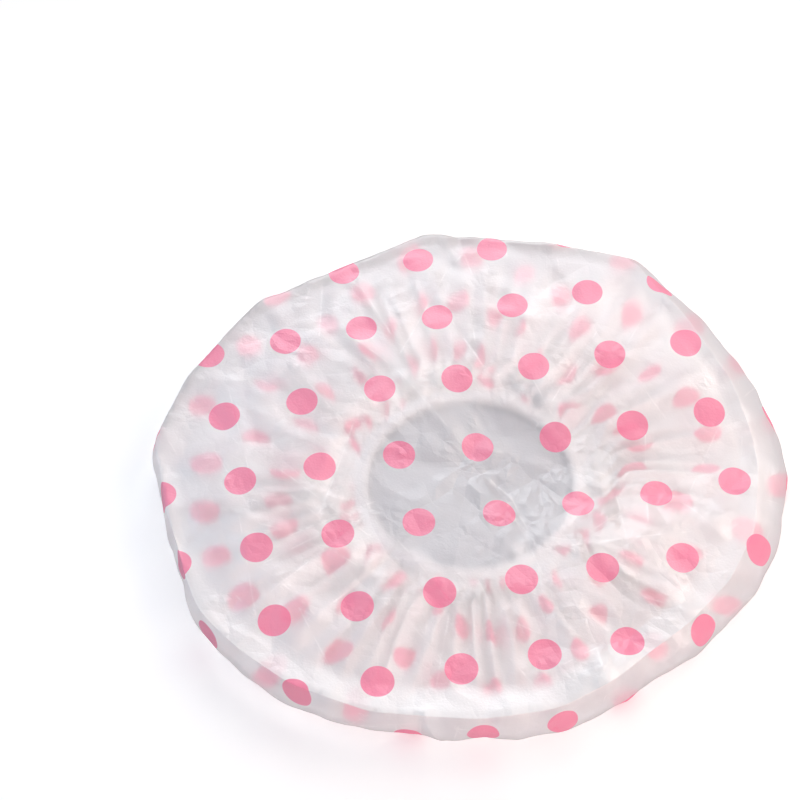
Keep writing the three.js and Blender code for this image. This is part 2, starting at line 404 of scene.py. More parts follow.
def rounded_and_fitted(grid):
    near_foot = np.exp(-((down_section - foot_at) / (2 * FOOT_ROUNDING)) ** 2)[..., None]
    crisp = smooth(grid, FOLD_ROUNDING / SECTION_STEP)
    soft = smooth(grid, FOOT_ROUNDING / SECTION_STEP)
    grid = crisp * (1 - near_foot) + soft * near_foot
    low, high = grid.min(axis=(0, 1))[:2], grid.max(axis=(0, 1))[:2]
    spare = np.array([cap_width, cap_depth]) / (high - low)
    past_crown = ramp(down_section, fold_at - FOLD_MARGIN, belly_at - FOLD_MARGIN)
    before_skirt = ramp(down_section, foot_at + FIT_FADE, foot_at)
    fit = 1 + (spare - 1) * (past_crown * before_skirt)[..., None]
    grid[..., :2] = (grid[..., :2] - (low + high) / 2) * fit + (low + high) / 2
    return grid


section_points = rounded_and_fitted(section_grid())
print("grid of", section_points.shape[0], "rows and", section_points.shape[1], "columns")

# %% [markdown]
# # The film, step 7: a row of points on the fold
#
# A fold line looks sharp only where a row of points lies on it. The rings of the disc run
# past the rim's fold at a slant, so each point that is nearest to the fold is moved onto
# it, by less than half a ring.

# %% Points on the fold


def at_points(values):
    """Values given for each column, read at each point of the disc."""
    return np.interp(disc_angle, column_angle, values, period=TURN)


def on_grid(grid):
    """Values of a grid of sections, read at each point of the disc."""
    row = disc_reach / SECTION_STEP
    column = disc_angle / TURN * COLUMNS
    row_low = np.minimum(row.astype(int), len(section_places) - 2)
    column_low = column.astype(int)
    down = (row - row_low)[:, None]
    along = (column - column_low)[:, None]
    left, right = column_low % COLUMNS, (column_low + 1) % COLUMNS
    upper = grid[row_low, left] * (1 - along) + grid[row_low, right] * along
    lower = grid[row_low + 1, left] * (1 - along) + grid[row_low + 1, right] * along
    return upper * (1 - down) + lower * down


fold_here, belly_here, foot_here = at_points(fold_at), at_points(belly_at), at_points(foot_at)
half_ring = DISC_RADIUS / DISC_RINGS / 2
beside_fold = disc_reach - fold_here
on_fold = (beside_fold >= -half_ring) & (beside_fold < half_ring)
disc_reach = np.where(on_fold, fold_here, disc_reach)
flat_points = disc_reach[:, None] * heading(disc_angle)
flat_x, flat_y = flat_points.T
print(on_fold.sum(), "points on the rim's fold")

# %% [markdown]
# # The film, step 8: facets
#
# Thin film that has been packed and opened again is full of flat facets with sharp edges
# between them. A few points with small heights, joined by triangles, give just that: every
# triangle is a facet, and every edge a crease. The long creases that catch the eye are
# listed, as a height and a line of flat places that the triangles must follow. A
# coarse net makes the facets as large as a hand, and a fine net the crumpled patches.

# %% Nets of facets
CREASES = [
    (2.0, [(-56, 65), (-33, 44), (-22, 30), (-4, 7)]),
    (1.4, [(-104, -29), (-90, -36), (-77, -40)]),
    (1.5, [(-87, -54), (-63, -41)]),
    (1.2, [(-77, -22), (-63, -35)]),
    (1.2, [(-98, -71), (-92, -78)]),
    (1.5, [(-90, -56), (-76, -68), (-60, -85)]),
    (1.2, [(-62, -47), (-45, -59), (-37, -62)]),
    (1.2, [(-18, -79), (-20, -108)]),
    (1.2, [(-9, -80), (-14, -112)]),
    (-1.5, [(-42, -59), (-58, -73)]),
    (1.0, [(77, 68), (71, 56)]),
    (-1.8, [(47, -18), (66, -16), (97, -16)]),
    (-2.4, [(9, -10), (18, -18), (28, -44)]),
    (2.6, [(53, -94), (56, -108), (57, -117)]),
    (1.5, [(29, -107), (53, -94)]),
    (1.3, [(18, -100), (28, -113)]),
    (1.4, [(94, -22), (101, -29), (111, -41)]),
    (1.0, [(75, -70), (86, -74), (94, -78)]),
    (1.8, [(-19, -121), (-17, -132), (-12, -146)]),
    (-1.4, [(-19, -121), (-23, -142)]),
    (1.3, [(-5, -131), (-8, -146)]),
]
NET_ROW_SHARE = 0.87
NET_JITTER = 0.38
NET_TOLERANCE = 1e-4
CREASE_CLEARANCE = 0.35
CREASE_END_SHARE = 0.4


def from_line(points, start, end):
    """How far points are along a line, beside it and past its ends, and its length."""
    way = np.subtract(end, start)
    length = np.linalg.norm(way)
    way = way / length
    away = points - start
    along = away @ way
    beside = away[:, 0] * way[1] - away[:, 1] * way[0]
    past = np.maximum(np.maximum(-along, along - length), 0)
    return along, beside, past, length


def facet_net(spacing, height, seed, creases):
    """Points of a net with their heights, and the edges that the creases ask for."""
    random = np.random.default_rng(seed)
    rows = np.arange(-DISC_RADIUS - spacing, DISC_RADIUS + 2 * spacing, spacing * NET_ROW_SHARE)
    net = [(x, y) for number, y in enumerate(rows) for x in rows + (number % 2) * spacing / 2]
    net = np.array(net) + random.uniform(-NET_JITTER, NET_JITTER, (len(net), 2)) * spacing
    heights = random.normal(0, height, len(net))
    keep = np.ones(len(net), bool)
    for _, crease in creases:
        for start, end in zip(crease, crease[1:]):
            _, beside, past, _ = from_line(net, start, end)
            keep &= np.hypot(beside, past) > CREASE_CLEARANCE * spacing
    net, heights = net[keep], heights[keep]
    edges = []
    for rise, crease in creases:
        first = len(net)
        rises = np.full(len(crease), rise)
        rises[[0, -1]] *= CREASE_END_SHARE
        net, heights = np.concatenate([net, crease]), np.concatenate([heights, rises])
        edges += [(first + i, first + i + 1) for i in range(len(crease) - 1)]
    return net, heights, edges


def facet_heights(spacing, height, seed, creases=()):
    """Height of a net of flat facets at each point of the flat disc."""
    net, heights, edges = facet_net(spacing, height, seed, creases)
    made = delaunay_2d_cdt([Vector(place) for place in net], edges, [], 0, NET_TOLERANCE)
    corners = np.array([tuple(place) for place in made[0]])
    corner_heights = heights[[source[0] if source else 0 for source in made[3]]]
    result = np.zeros(len(flat_points))
    order = np.argsort(flat_x)
    for triangle in made[2]:
        a, b, c = corners[triangle]
        low, high = np.searchsorted(flat_x[order], [min(a[0], b[0], c[0]), max(a[0], b[0], c[0])])
        some = order[low:high]
        sides = np.column_stack([b - a, c - a])
        if abs(np.linalg.det(sides)) < 1e-9:
            continue
        share = (flat_points[some] - a) @ np.linalg.inv(sides).T
        inside = (share >= 0).all(axis=1) & (share.sum(axis=1) <= 1)
        share, h = share[inside], corner_heights[triangle]
        result[some[inside]] = h[0] + share[:, 0] * (h[1] - h[0]) + share[:, 1] * (h[2] - h[0])
    return result


coarse_facets = facet_heights(spacing=30, height=0.95, seed=5, creases=CREASES)
fine_facets = facet_heights(spacing=11, height=0.4, seed=8)
print(f"facets from {coarse_facets.min():.1f} to {coarse_facets.max():.1f} mm")

# %% [markdown]
# # The film, step 9: fold lines
#
# A crease isn't only the edge between two facets. The film stands up along it in a narrow
# ridge, and where it was bent hard it stays whiter in a thin line. Besides the listed
# creases, many short ones lie about by chance, from a fixed seed. Each is a
# little roof that runs out at its ends, and all the roofs add up. For the white lines, each
# point keeps how far it is to the side of its nearest line, because a line drawn from that
# distance stays thin even between two points of the mesh.

# %% Fold lines
RIDGE_HALF_WIDTH = 6.0
RIDGE_SHARE = 0.5
RIDGE_END_SHARE = 0.3
RIDGE_END_LEAST = 0.1
LOOSE_CREASES = 110
LOOSE_CREASE_LENGTHS = (14, 60)
LOOSE_CREASE_HEIGHT = 0.55
LOOSE_CREASE_REACH = 165
LINE_TAPER = 4.0
LINE_REACH = (1.6, 3.2)
LINE_WHITE_LEAST = 0.35
FAR_AWAY = 100.0


def crease_segments():
    """Start, end and height of every single fold line, from the list and by chance."""
    segments = [(start, end, RIDGE_SHARE * rise)
                for rise, crease in CREASES for start, end in zip(crease, crease[1:])]
    random = np.random.default_rng(41)
    for _ in range(LOOSE_CREASES):
        middle_angle, way_angle = random.uniform(0, TURN, 2)
        middle = LOOSE_CREASE_REACH * random.uniform(0.05, 1) ** 0.5 * heading(middle_angle)
        way = 0.5 * random.uniform(*LOOSE_CREASE_LENGTHS) * heading(way_angle)
        segments.append((middle - way, middle + way, random.normal(0, LOOSE_CREASE_HEIGHT)))
    return segments


def ridges():
    """Height of all fold lines, with the side and the whiteness of the nearest one."""
    height, white = np.zeros((2, len(flat_points)))
    side, nearest = np.full((2, len(flat_points)), FAR_AWAY)
    for start, end, rise in crease_segments():
        along, beside, past, length = from_line(flat_points, start, end)
        distance = np.hypot(beside, past)
        inward = np.minimum(along, length - along) / (RIDGE_END_SHARE * length)
        roof = ramp(np.abs(beside), RIDGE_HALF_WIDTH, 0)
        height += rise * roof * np.clip(inward + RIDGE_END_LEAST, 0, 1)
        closer = distance < nearest
        nearest = np.where(closer, distance, nearest)
        side = np.where(closer, beside, side)
        fade = ramp(past, LINE_TAPER, 0) * min(1, LINE_WHITE_LEAST + abs(rise))
        white = np.where(closer, fade, white)
    return height, side, white * ramp(nearest, *LINE_REACH[::-1])


ridge_heights, crease_side, crease_white = ridges()
print(f"fold lines from {ridge_heights.min():.1f} to {ridge_heights.max():.1f} mm")

# %% [markdown]
# # The film, step 10: crumpled patches
#
# The small facets don't cover the film evenly. Over the mouth and at the front it was
# handled more, and is crumpled, while the back of the crown lies calm. A few round patches
# say where. The same values go to the material later, for creases too small for the mesh.

# %% Crumpled patches
CRUMPLE_LEAST = 0.5
CRUMPLED_PATCHES = [(8, -8, 45, 1.2), (62, -62, 38, 1.2), (-70, -60, 45, 0.8), (35, 40, 30, 0.8)]
FINE_OFFSET = 0.4
PATCH_LENGTHS = (26, 31)
PATCH_LEAST = 0.25
PATCH_OFFSET = 0.1
CALM_SHARE = 0.55
CALM_FROM_Y = (20, 70)


def wander(angles, counts, seed):
    """A smooth closed random curve round the cap, from -1 to 1 or so."""
    random = np.random.default_rng(seed)
    waves = [np.sin(n * angles + random.uniform(0, TURN)) for n in counts]
    return sum(waves) / len(counts) ** 0.5


crumple = np.full(len(flat_points), CRUMPLE_LEAST)
for middle_x, middle_y, spread, amount in CRUMPLED_PATCHES:
    near = np.exp(-((flat_x - middle_x) ** 2 + (flat_y - middle_y) ** 2) / spread ** 2)
    crumple = np.maximum(crumple, CRUMPLE_LEAST + (amount - CRUMPLE_LEAST) * near)
cloudy = wander(flat_x / PATCH_LENGTHS[0], (1, 2), 31) * wander(flat_y / PATCH_LENGTHS[1], (1, 2), 32)
cloudy = PATCH_LEAST + (1 - PATCH_LEAST) * np.clip(cloudy + PATCH_OFFSET, 0, 1)
calm = 1 - CALM_SHARE * ramp(flat_y, *CALM_FROM_Y)
fine = fine_facets * np.maximum(cloudy, crumple - FINE_OFFSET)
relief = coarse_facets * calm + ridge_heights + fine
print(f"relief of {relief.std():.2f} mm on average")

# %% [markdown]
# # The film, step 11: how much must go into pleats
#
# The disc's edge is five times as long as the mouth that it is gathered into, so it has to
# fold. How much is known exactly: at each distance from the mouth, the film's own length
# round the disc, divided by the room that is left, says how steep the pleats must be.
# Pleats also need to know which way is down the film, round the mouth, and square to both.

# %% Room for the pleats
film_base = on_grid(section_points)
down_film = unit(on_grid(np.gradient(section_points, SECTION_STEP, axis=0)))
from_middle = film_base[:, :2] - [0, MOUTH_MIDDLE_Y]
room = np.linalg.norm(from_middle, axis=1)
way_x, way_y = unit(from_middle).T
round_way = np.column_stack([-way_y, way_x, np.zeros(len(room))])
square_way = unit(np.cross(down_film, round_way))
steep = np.sqrt(np.maximum((disc_reach / np.maximum(room, 1)) ** 2 - 1, 0))
print(f"film at the mouth is {steep[-1]:.1f} times steeper than flat")

# %% [markdown]
# # The film, step 12: pleats
#
# Pleats join in pairs on their way out, so waves of 120, 60 and 30 folds share the work.
# Each wave has straight flanks, because film bends sharply and stays flat in between. The
# waves wander, so that no two pleats are alike. They are held within the height that the
# skirt has, hang inward from the sections, and get lower again where the tape takes them.

# %% Pleats
PLEAT_COUNTS = (30, 60, 120)
OUTER_JOIN = (87, 127)
INNER_JOIN = (74, 56)
PLEAT_LIMIT = 10.5
PLEAT_GROWTH = 25
PLEAT_UNEVENNESS = 0.35
PLEAT_SHIFT = 0.7
PLEAT_WANDER = (0.05, 0.011)
PLEAT_TWIST = 0.0004
RIDGE_ROUNDING = 0.95
LIP_THICKNESS = 0.8
SQUEEZED_EDGE = (0, 14)
CENTRED_EDGE = (16, 4)
from_edge = DISC_RADIUS - disc_reach


def fold_wave(angle):
    """A wave with straight flanks and slightly rounded ridges, from -1 to 1."""
    return np.arcsin(RIDGE_ROUNDING * np.sin(angle)) / np.arcsin(RIDGE_ROUNDING)


def pleat_waves():
    """Offset of the pleats at each point, and the most that it could be there."""
    wandering = disc_angle + PLEAT_WANDER[0] * wander(disc_angle, (3, 5, 8), 2)
    wandering = wandering + PLEAT_WANDER[1] * wander(disc_angle, (13, 21, 29), 3)
    wandering = wandering - PLEAT_TWIST * from_edge * wander(disc_angle, (4, 7, 11), 4)
    wide, narrow = ramp(room, *OUTER_JOIN), ramp(room, *INNER_JOIN)
    offset, total = np.zeros((2, len(room)))
    shares = [wide, (1 - wide) * (1 - narrow), narrow]
    for number, (count, share) in enumerate(zip(PLEAT_COUNTS, shares)):
        size = steep * TURN * room / count / 4 * share
        size *= 1 + PLEAT_UNEVENNESS * wander(disc_angle, (17, 23, 31, 41), 10 + number)
        offset += size * fold_wave(count * wandering + PLEAT_SHIFT * number)
        total += size
    past_belly = ramp(disc_reach, belly_here, foot_here + PLEAT_GROWTH)
    limit = PLEAT_LIMIT / 2 * past_belly ** 1.5
    squeeze = ramp(from_edge, *SQUEEZED_EDGE)
    limit = np.minimum(limit, LIP_THICKNESS / 2 + squeeze * PLEAT_LIMIT / 2)
    scale = np.minimum(1, limit / np.maximum(total, 1e-6))
    return offset * scale, total * scale


pleat_offset, pleat_total = pleat_waves()
inward = pleat_offset + pleat_total * (1 - ramp(from_edge, *CENTRED_EDGE))
film_points = film_base - square_way * inward[:, None]
print(f"pleats up to {2 * pleat_total.max():.1f} mm high")

# %% [markdown]
# # The film, step 13: leaning, creases and the wall
#
# Gathers don't stand straight. They lean over each other, and near the seam they are
# pressed flat to one side, which is modelled as a shear of the pleats along the ring. Then
# the creases are laid over the whole film, fading where the tape holds it. The wall gets a
# faint ripple of its own, and nothing may sink below the table.

# %% Leaning pleats and relief
LEAN = 0.5
PRESSED_LEAN = 3.2
PRESSED_SHARPNESS = 3
PRESSED_EDGE = (20, 8)
LOOSE_EDGE = (6, 20)
WALL_RIPPLE = 0.25
pressed = ramp(from_edge, *PRESSED_EDGE)
under = ramp(disc_reach, foot_here, foot_here + PLEAT_GROWTH)
lean = LEAN * wander(disc_angle, (6, 9, 14, 19), 20) * under * (1 - pressed)
pressed_way = np.tanh(PRESSED_SHARPNESS * wander(disc_angle, (2, 3, 5), 21))
lean += PRESSED_LEAN * pressed_way * pressed
film_points += round_way * (lean * pleat_offset)[:, None]
film_points += square_way * (relief * ramp(from_edge, *LOOSE_EDGE))[:, None]
on_wall = ramp(disc_reach, fold_here, foot_here)
ripple = WALL_RIPPLE * np.sin(np.pi * on_wall) * wander(disc_angle, (23, 31, 43, 59), 61)
film_points -= square_way * ripple[:, None]
film_points[:, 2] = np.maximum(film_points[:, 2], FLOOR_GAP)
corners = film_points[disc_triangles]
doubled_areas = np.cross(corners[:, 1] - corners[:, 0], corners[:, 2] - corners[:, 0])
film_area = 0.5 * np.linalg.norm(doubled_areas, axis=1).sum() / 1e6
print(f"film area {film_area:.3f} square metres, flat {math.pi * DISC_RADIUS ** 2 / 1e6:.3f}")

# %% [markdown]
# # The film, step 14: one mesh that knows its own places
#
# The mesh is filled from arrays, which is far quicker than adding points one by one. Its UV
# map is the flat disc, so the print and the small creases follow the film wherever it is
# folded. What else the material needs is stored as attributes of the points: the side and
# whiteness of the nearest fold line, how crumpled the film is, how far it is past the rim's
# fold, and where a painted highlight lies as a strip inside that fold. The rim's fold is
# itself the strongest fold line, and its edges are marked sharp where the film is creased.

# %% Film mesh
FLAT_SPAN = 500.0
FOLD_WHITE = 0.8
# How strong the painted highlight strip inside the rim's fold is, round the cap.
PAINTED_HIGHLIGHT_SHARES = [0.3, 0.2, 0.0, 0.0, 0.1, 0.6, 1.0, 0.8]
CRISP_SHARES = [1, 1, 0, 0, 0, 1, 1, 1]
CRISP_FROM = 0.5


def mesh_object(name, points, faces, flat=None):
    """A named mesh object from points in millimetres, with its flat cut as a UV map."""
    faces = np.asarray(faces)
    mesh = bpy.data.meshes.new(name)
    mesh.vertices.add(len(points))
    mesh.vertices.foreach_set("co", (np.asarray(points) * MM).ravel())
    mesh.loops.add(faces.size)
    mesh.loops.foreach_set("vertex_index", faces.ravel())
    mesh.polygons.add(len(faces))
    mesh.polygons.foreach_set("loop_start", np.arange(len(faces)) * faces.shape[1])
    mesh.update(calc_edges=True)
    mesh.polygons.foreach_set("use_smooth", np.ones(len(faces), bool))
    if flat is not None:
        mesh.uv_layers.new(name="UVMap").data.foreach_set("uv", flat[faces.ravel()].ravel())
    return linked(name, mesh)


film = mesh_object("printed_film_sheet", film_points, disc_triangles, 0.5 + flat_points / FLAT_SPAN)
past_fold = disc_reach - fold_here
by_fold = np.abs(past_fold) < LINE_REACH[1]
fold_white = FOLD_WHITE * ramp(np.abs(past_fold), *LINE_REACH[::-1])
film_notes = {
    "crease_side": np.where(by_fold, past_fold, crease_side),
    "crease_white": np.where(by_fold, fold_white, crease_white),
    # Where the rim's fold gets its painted highlight strip, mostly at the front.
    "painted_fold_highlight": at_points(np.clip(around(PAINTED_HIGHLIGHT_SHARES), 0, 1)),
    "past_fold": past_fold,
    "crumple": crumple,
}
for name, values in film_notes.items():
    note = film.data.attributes.new(name, "FLOAT", "POINT")
    note.data.foreach_set("value", values.astype(np.float32))
edge_ends = np.empty(2 * len(film.data.edges), int)
film.data.edges.foreach_get("vertices", edge_ends)
crisp_points = on_fold & (at_points(around(CRISP_SHARES)) > CRISP_FROM)
crisp_edges = crisp_points[edge_ends.reshape(-1, 2)].all(axis=1)
film.data.edges.foreach_set("use_edge_sharp", crisp_edges)
print("notes", list(film_notes), "and", crisp_edges.sum(), "crisp edges along the fold")

# %% [markdown]
# # Helpers for materials
#
# A material is a tree of nodes. Made by hand in the editor it can't be read as text, and
# made in plain code it takes four lines a node. These helpers make a node, set it up and
# join it in one line, so that a material reads like a formula. Numbers go straight on the
# sockets, and what changes over the surface comes in as a link.

# %% Helpers for materials


def node(tree, kind, inputs=(), **settings):
    """A new node, with its settings, and its inputs given as values or as links."""
    made = tree.nodes.new(kind)
    for key, value in settings.items():
        setattr(made, key, value)
    for key, value in dict(inputs).items():
        if isinstance(value, bpy.types.NodeSocket):
            tree.links.new(value, made.inputs[key])
        else:
            made.inputs[key].default_value = value
    return made


def math_node(tree, operation, first, *others):
    """A number from one or more others, which are taken in one at a time."""
    if not others:
        return node(tree, "ShaderNodeMath", {0: first}, operation=operation).outputs[0]
    for other in others:
        made = node(tree, "ShaderNodeMath", {0: first, 1: other}, operation=operation)
        first = made.outputs[0]
    return first


def rest_of(tree, share):
    return math_node(tree, "SUBTRACT", 1.0, share)


def vector_node(tree, operation, *values):
    made = node(tree, "ShaderNodeVectorMath", dict(enumerate(values)), operation=operation)
    return made.outputs["Value" if operation in ("LENGTH", "DOT_PRODUCT") else "Vector"]


def scaled(tree, vector, factor):
    inputs = {0: vector, "Scale": factor}
    return node(tree, "ShaderNodeVectorMath", inputs, operation="SCALE").outputs[0]


def ramp_node(tree, value, start, end, first=0.0, last=1.0, kind="LINEAR"):
    """First before start, last past end, and straight or eased in between."""
    inputs = {"Value": value, "From Min": start, "From Max": end, "To Min": first, "To Max": last}
    return node(tree, "ShaderNodeMapRange", inputs, interpolation_type=kind).outputs[0]


def noise(tree, place, scale, detail):
    inputs = {"Vector": place, "Scale": scale, "Detail": detail}
    return node(tree, "ShaderNodeTexNoise", inputs).outputs


def attribute(tree, name):
    return node(tree, "ShaderNodeAttribute", attribute_name=name).outputs["Fac"]


def object_place(tree):
    """The place on the piece, in millimetres."""
    return scaled(tree, node(tree, "ShaderNodeTexCoord").outputs["Object"], 1 / MM)


def colours_mixed(tree, share, none, full):
    inputs = {"Factor": share, "A": none, "B": full}
    return node(tree, "ShaderNodeMix", inputs, data_type="RGBA").outputs["Result"]


def shader_node(tree, kind, inputs=()):
    return node(tree, "ShaderNode" + kind, inputs).outputs[0]


def shaders_mixed(tree, share, none, full):
    return shader_node(tree, "MixShader", {0: share, 1: none, 2: full})


def new_material(name):
    material = bpy.data.materials.new(name)
    material.use_nodes = True
    material.node_tree.nodes.clear()
    return material, material.node_tree


def new_group(kind, name, takes, gives):
    """A node group with named sockets, given with their types, and what comes in."""
    group = bpy.data.node_groups.new(name, kind)
    for way, sockets in (("INPUT", takes), ("OUTPUT", gives)):
        for label, what in sockets.items():
            group.interface.new_socket(label, in_out=way, socket_type="NodeSocket" + what)
    return group, node(group, "NodeGroupInput").outputs


def srgb(*colour):
    """A colour read from a picture, 0 to 255, as the linear colour that shaders take."""
    linear = [((c / 255 + 0.055) / 1.055) ** 2.4 if c > 10 else c / 255 / 12.92 for c in colour]
    return (*linear, 1.0)


print("milky white is", [round(part, 3) for part in srgb(252, 250, 249)])

# %% [markdown]
# # The print
#
# The dots are ink on the flat film, in slanted rows at one pitch. An image would do, but it
# would have to be drawn first, and would blur close up. A formula stays sharp: the place on
# the film is counted in whole steps along the two directions of the rows, what is left over
# is the distance to the nearest dot's middle, and inside the radius there is ink.

# %% Dot print group
DOT_DIAMETER = 14.2
DOT_ORIGIN = (-24.5, 109.0, 0)
DOT_STEP_ACROSS = (34.8, 6.3)
DOT_STEP_DOWN = (9.3, -34.3)
DOT_EDGE = 0.12


def dot_print_group():
    group, given = new_group("ShaderNodeTree", "dot_print",
                             {"Flat place": "Vector", "Diameter": "Float"}, {"Ink": "Float"})
    place = vector_node(group, "SUBTRACT", given["Flat place"], DOT_ORIGIN)
    steps = np.array([DOT_STEP_ACROSS, DOT_STEP_DOWN])
    leftover = []
    for row, step in zip(np.linalg.inv(steps.T), steps):
        count = vector_node(group, "DOT_PRODUCT", place, (*row, 0))
        part = math_node(group, "SUBTRACT", count, math_node(group, "ROUND", count))
        leftover.append(scaled(group, (*step, 0), part))
    nearest = vector_node(group, "MULTIPLY", vector_node(group, "ADD", *leftover), (1, 1, 0))
    radius = math_node(group, "DIVIDE", given["Diameter"], 2.0)
    beyond = math_node(group, "SUBTRACT", radius, vector_node(group, "LENGTH", nearest))
    ink = ramp_node(group, beyond, -DOT_EDGE, DOT_EDGE, kind="SMOOTHSTEP")
    node(group, "NodeGroupOutput", {"Ink": ink})
    return group


dot_print = dot_print_group()
print("dots", DOT_DIAMETER, "mm wide,", round(math.hypot(*DOT_STEP_ACROSS), 1), "mm apart")

# %% [markdown]
# # Small creases
#
# Film that was folded small in a packet keeps a net of thin, straight creases. The distance
# to the nearest edge of a Voronoi cell is the height of a roof over that cell: flat facets
# with sharp ridges and valleys, which is how crumpled film looks. A noise mask lets them
# come and go. The group gives the roofs as a height, and the cell edges as a thin line where
# the film has been bent so sharply that it has turned whiter.

# %% Crease group
WOBBLE_SCALE = 0.03
WOBBLE = 12.0
PATCH_SCALE = 0.45
MASK_FROM = 0.36
MASK_RISE = 0.14
MASK_WIDTH = 0.16


def crease_group():
    takes = {"Flat place": "Vector", "Cell size": "Float", "Line width": "Float",
             "Patchiness": "Float"}
    group, given = new_group("ShaderNodeTree", "film_creases", takes,
                             {"Height": "Float", "Line": "Float"})
    flat, cell = given["Flat place"], given["Cell size"]
    scale = math_node(group, "DIVIDE", 1.0, cell)
    shift = scaled(group, noise(group, flat, WOBBLE_SCALE, 1.0)["Color"], WOBBLE)
    edge = node(group, "ShaderNodeTexVoronoi", {
        "Vector": vector_node(group, "ADD", flat, shift), "Scale": scale, "Randomness": 1.0},
        feature="DISTANCE_TO_EDGE", voronoi_dimensions="2D").outputs["Distance"]
    away = math_node(group, "MULTIPLY", edge, cell)
    patch = noise(group, flat, math_node(group, "MULTIPLY", scale, PATCH_SCALE), 1.0)["Fac"]
    low = math_node(group, "ADD", MASK_FROM,
                    math_node(group, "MULTIPLY", given["Patchiness"], MASK_RISE))
    mask = ramp_node(group, patch, low, math_node(group, "ADD", low, MASK_WIDTH))
    line = ramp_node(group, away, 0.0, given["Line width"], 1.0, 0.0)
    node(group, "NodeGroupOutput", {
        "Height": math_node(group, "MULTIPLY", away, mask),
        "Line": math_node(group, "MULTIPLY", line, mask)})
    return group


film_creases = crease_group()
print(len(film_creases.nodes), "nodes in the crease group")

# %% [markdown]
# # The film's relief in the material
#
# Three sizes of small creases lie on each other: wide ones hardly seen, and two finer ones
# that catch the light. Each layer is a cell size, a line width, a patchiness, a slope and a
# whiteness. The fold lines that the mesh has as ridges get their thin white line here,
# broken by noise as real ones are. A fine grain keeps the gloss from looking like glass.

# %% Relief of the film
CREASE_LAYERS = ((42, 0.5, 0.0, 0.08, 0.0), (15, 0.35, 0.5, 0.12, 0.1), (5.5, 0.25, 1.0, 0.13, 0.08))
FOLD_LINE_WIDTH = 0.55
FOLD_LINE_WHITE = 0.8
LINE_BREAK_SCALE = 0.12
LINE_BREAKS = (0.4, 0.6)
GRAIN_SCALE = 0.9
GRAIN_HEIGHT = 0.12


def film_relief(tree, flat):
    """Height of the creases and the grain, and how far each place has turned white."""
    crumpled = attribute(tree, "crumple")
    rises, marks = [], []
    for cell, width, patchiness, slope, white in CREASE_LAYERS:
        layer = node(tree, "ShaderNodeGroup", {
            "Flat place": flat, "Cell size": cell, "Line width": width,
            "Patchiness": patchiness}, node_tree=film_creases).outputs
        rises.append(math_node(tree, "MULTIPLY", layer["Height"], slope, crumpled))
        marks.append(math_node(tree, "MULTIPLY", layer["Line"], white))
    beside = math_node(tree, "ABSOLUTE", attribute(tree, "crease_side"))
    thin = ramp_node(tree, beside, 0.0, FOLD_LINE_WIDTH, FOLD_LINE_WHITE, 0.0)
    breaks = ramp_node(tree, noise(tree, flat, LINE_BREAK_SCALE, 2.0)["Fac"], *LINE_BREAKS)
    folded = math_node(tree, "MULTIPLY", thin, attribute(tree, "crease_white"), breaks)
    grain = math_node(tree, "MULTIPLY", noise(tree, flat, GRAIN_SCALE, 3.0)["Fac"], GRAIN_HEIGHT)
    return math_node(tree, "ADD", *rises, grain), math_node(tree, "MAXIMUM", *marks, folded)


print(len(CREASE_LAYERS), "layers of small creases")

# %% [markdown]
# # How much shows through the film
#
# Milky film hides over a third of what lies behind it, and ink nearly all. Towards the
# mouth the gathers lie on each other, and the film gets denser. Inside the rim's fold, at
# the front, a strip is made denser, so that it shows whiter: a painted highlight where the
# fold's shoulder catches the light, ending sharply at the fold. Creased lines are white
# too. All these are shares that multiply, so each can be set by itself.

# %% Clearness of the film
SEE_THROUGH = (0.62, 0.1)
GATHERED_REACH = (135, 200)
GATHERED_SHARE = 0.15
PAINTED_HIGHLIGHT_WIDTH = 15
PAINTED_HIGHLIGHT_EDGE = 6
PAINTED_HIGHLIGHT_DENSITY = 0.9
FOLD_EDGE = 0.25


def film_clearness(tree, flat, ink, line):
    """The share of what lies behind that shows through the film."""
    clear = ramp_node(tree, ink, 0.0, 1.0, *SEE_THROUGH)
    gathered = ramp_node(tree, vector_node(tree, "LENGTH", flat), *GATHERED_REACH,
                         1.0, GATHERED_SHARE, "SMOOTHSTEP")
    past = attribute(tree, "past_fold")
    # Painted highlight: a strip inside the front fold hides more of what is behind, so it shows
    # whiter.
    begins = ramp_node(tree, past, -PAINTED_HIGHLIGHT_WIDTH, PAINTED_HIGHLIGHT_EDGE - PAINTED_HIGHLIGHT_WIDTH)
    stops = ramp_node(tree, past, -FOLD_EDGE, FOLD_EDGE, 1.0, 0.0)
    painted_fold_highlight = math_node(tree, "MULTIPLY", attribute(tree, "painted_fold_highlight"), begins, stops,
                        PAINTED_HIGHLIGHT_DENSITY)
    return math_node(tree, "MULTIPLY", clear, gathered, rest_of(tree, line),
                     rest_of(tree, painted_fold_highlight))


print(f"plain film lets {SEE_THROUGH[0]:.0%} through, and ink {SEE_THROUGH[1]:.0%}")

# %% [markdown]
# # The film's finish
#
# One glassy shader can't do milky film. So the finish is a mix: a milky body that glows a
# little when lit from behind, what shows through, mostly blurred and partly clear, and a
# soft gloss on top that grows at flat angles, up to a limit. Solid film would cast a black
# shadow inside itself, so for shadows alone it is a pale see-through pane.

# %% Film material
MILK = srgb(252, 250, 249)
INK = srgb(255, 138, 171)
PANE = srgb(254, 254, 254)
MILK_GLOW_SHARE = 0.2
CLEAR_SHARE = 0.22
BLUR_ROUGHNESS = 0.5
BLUR_IOR = 1.2
GLOSS_ROUGHNESS = 0.28
GLOSS_MOST = 0.14
FILM_IOR = 1.75
SHADE = ((0.69, 0.68, 0.68, 1), (0.58, 0.54, 0.55, 1))


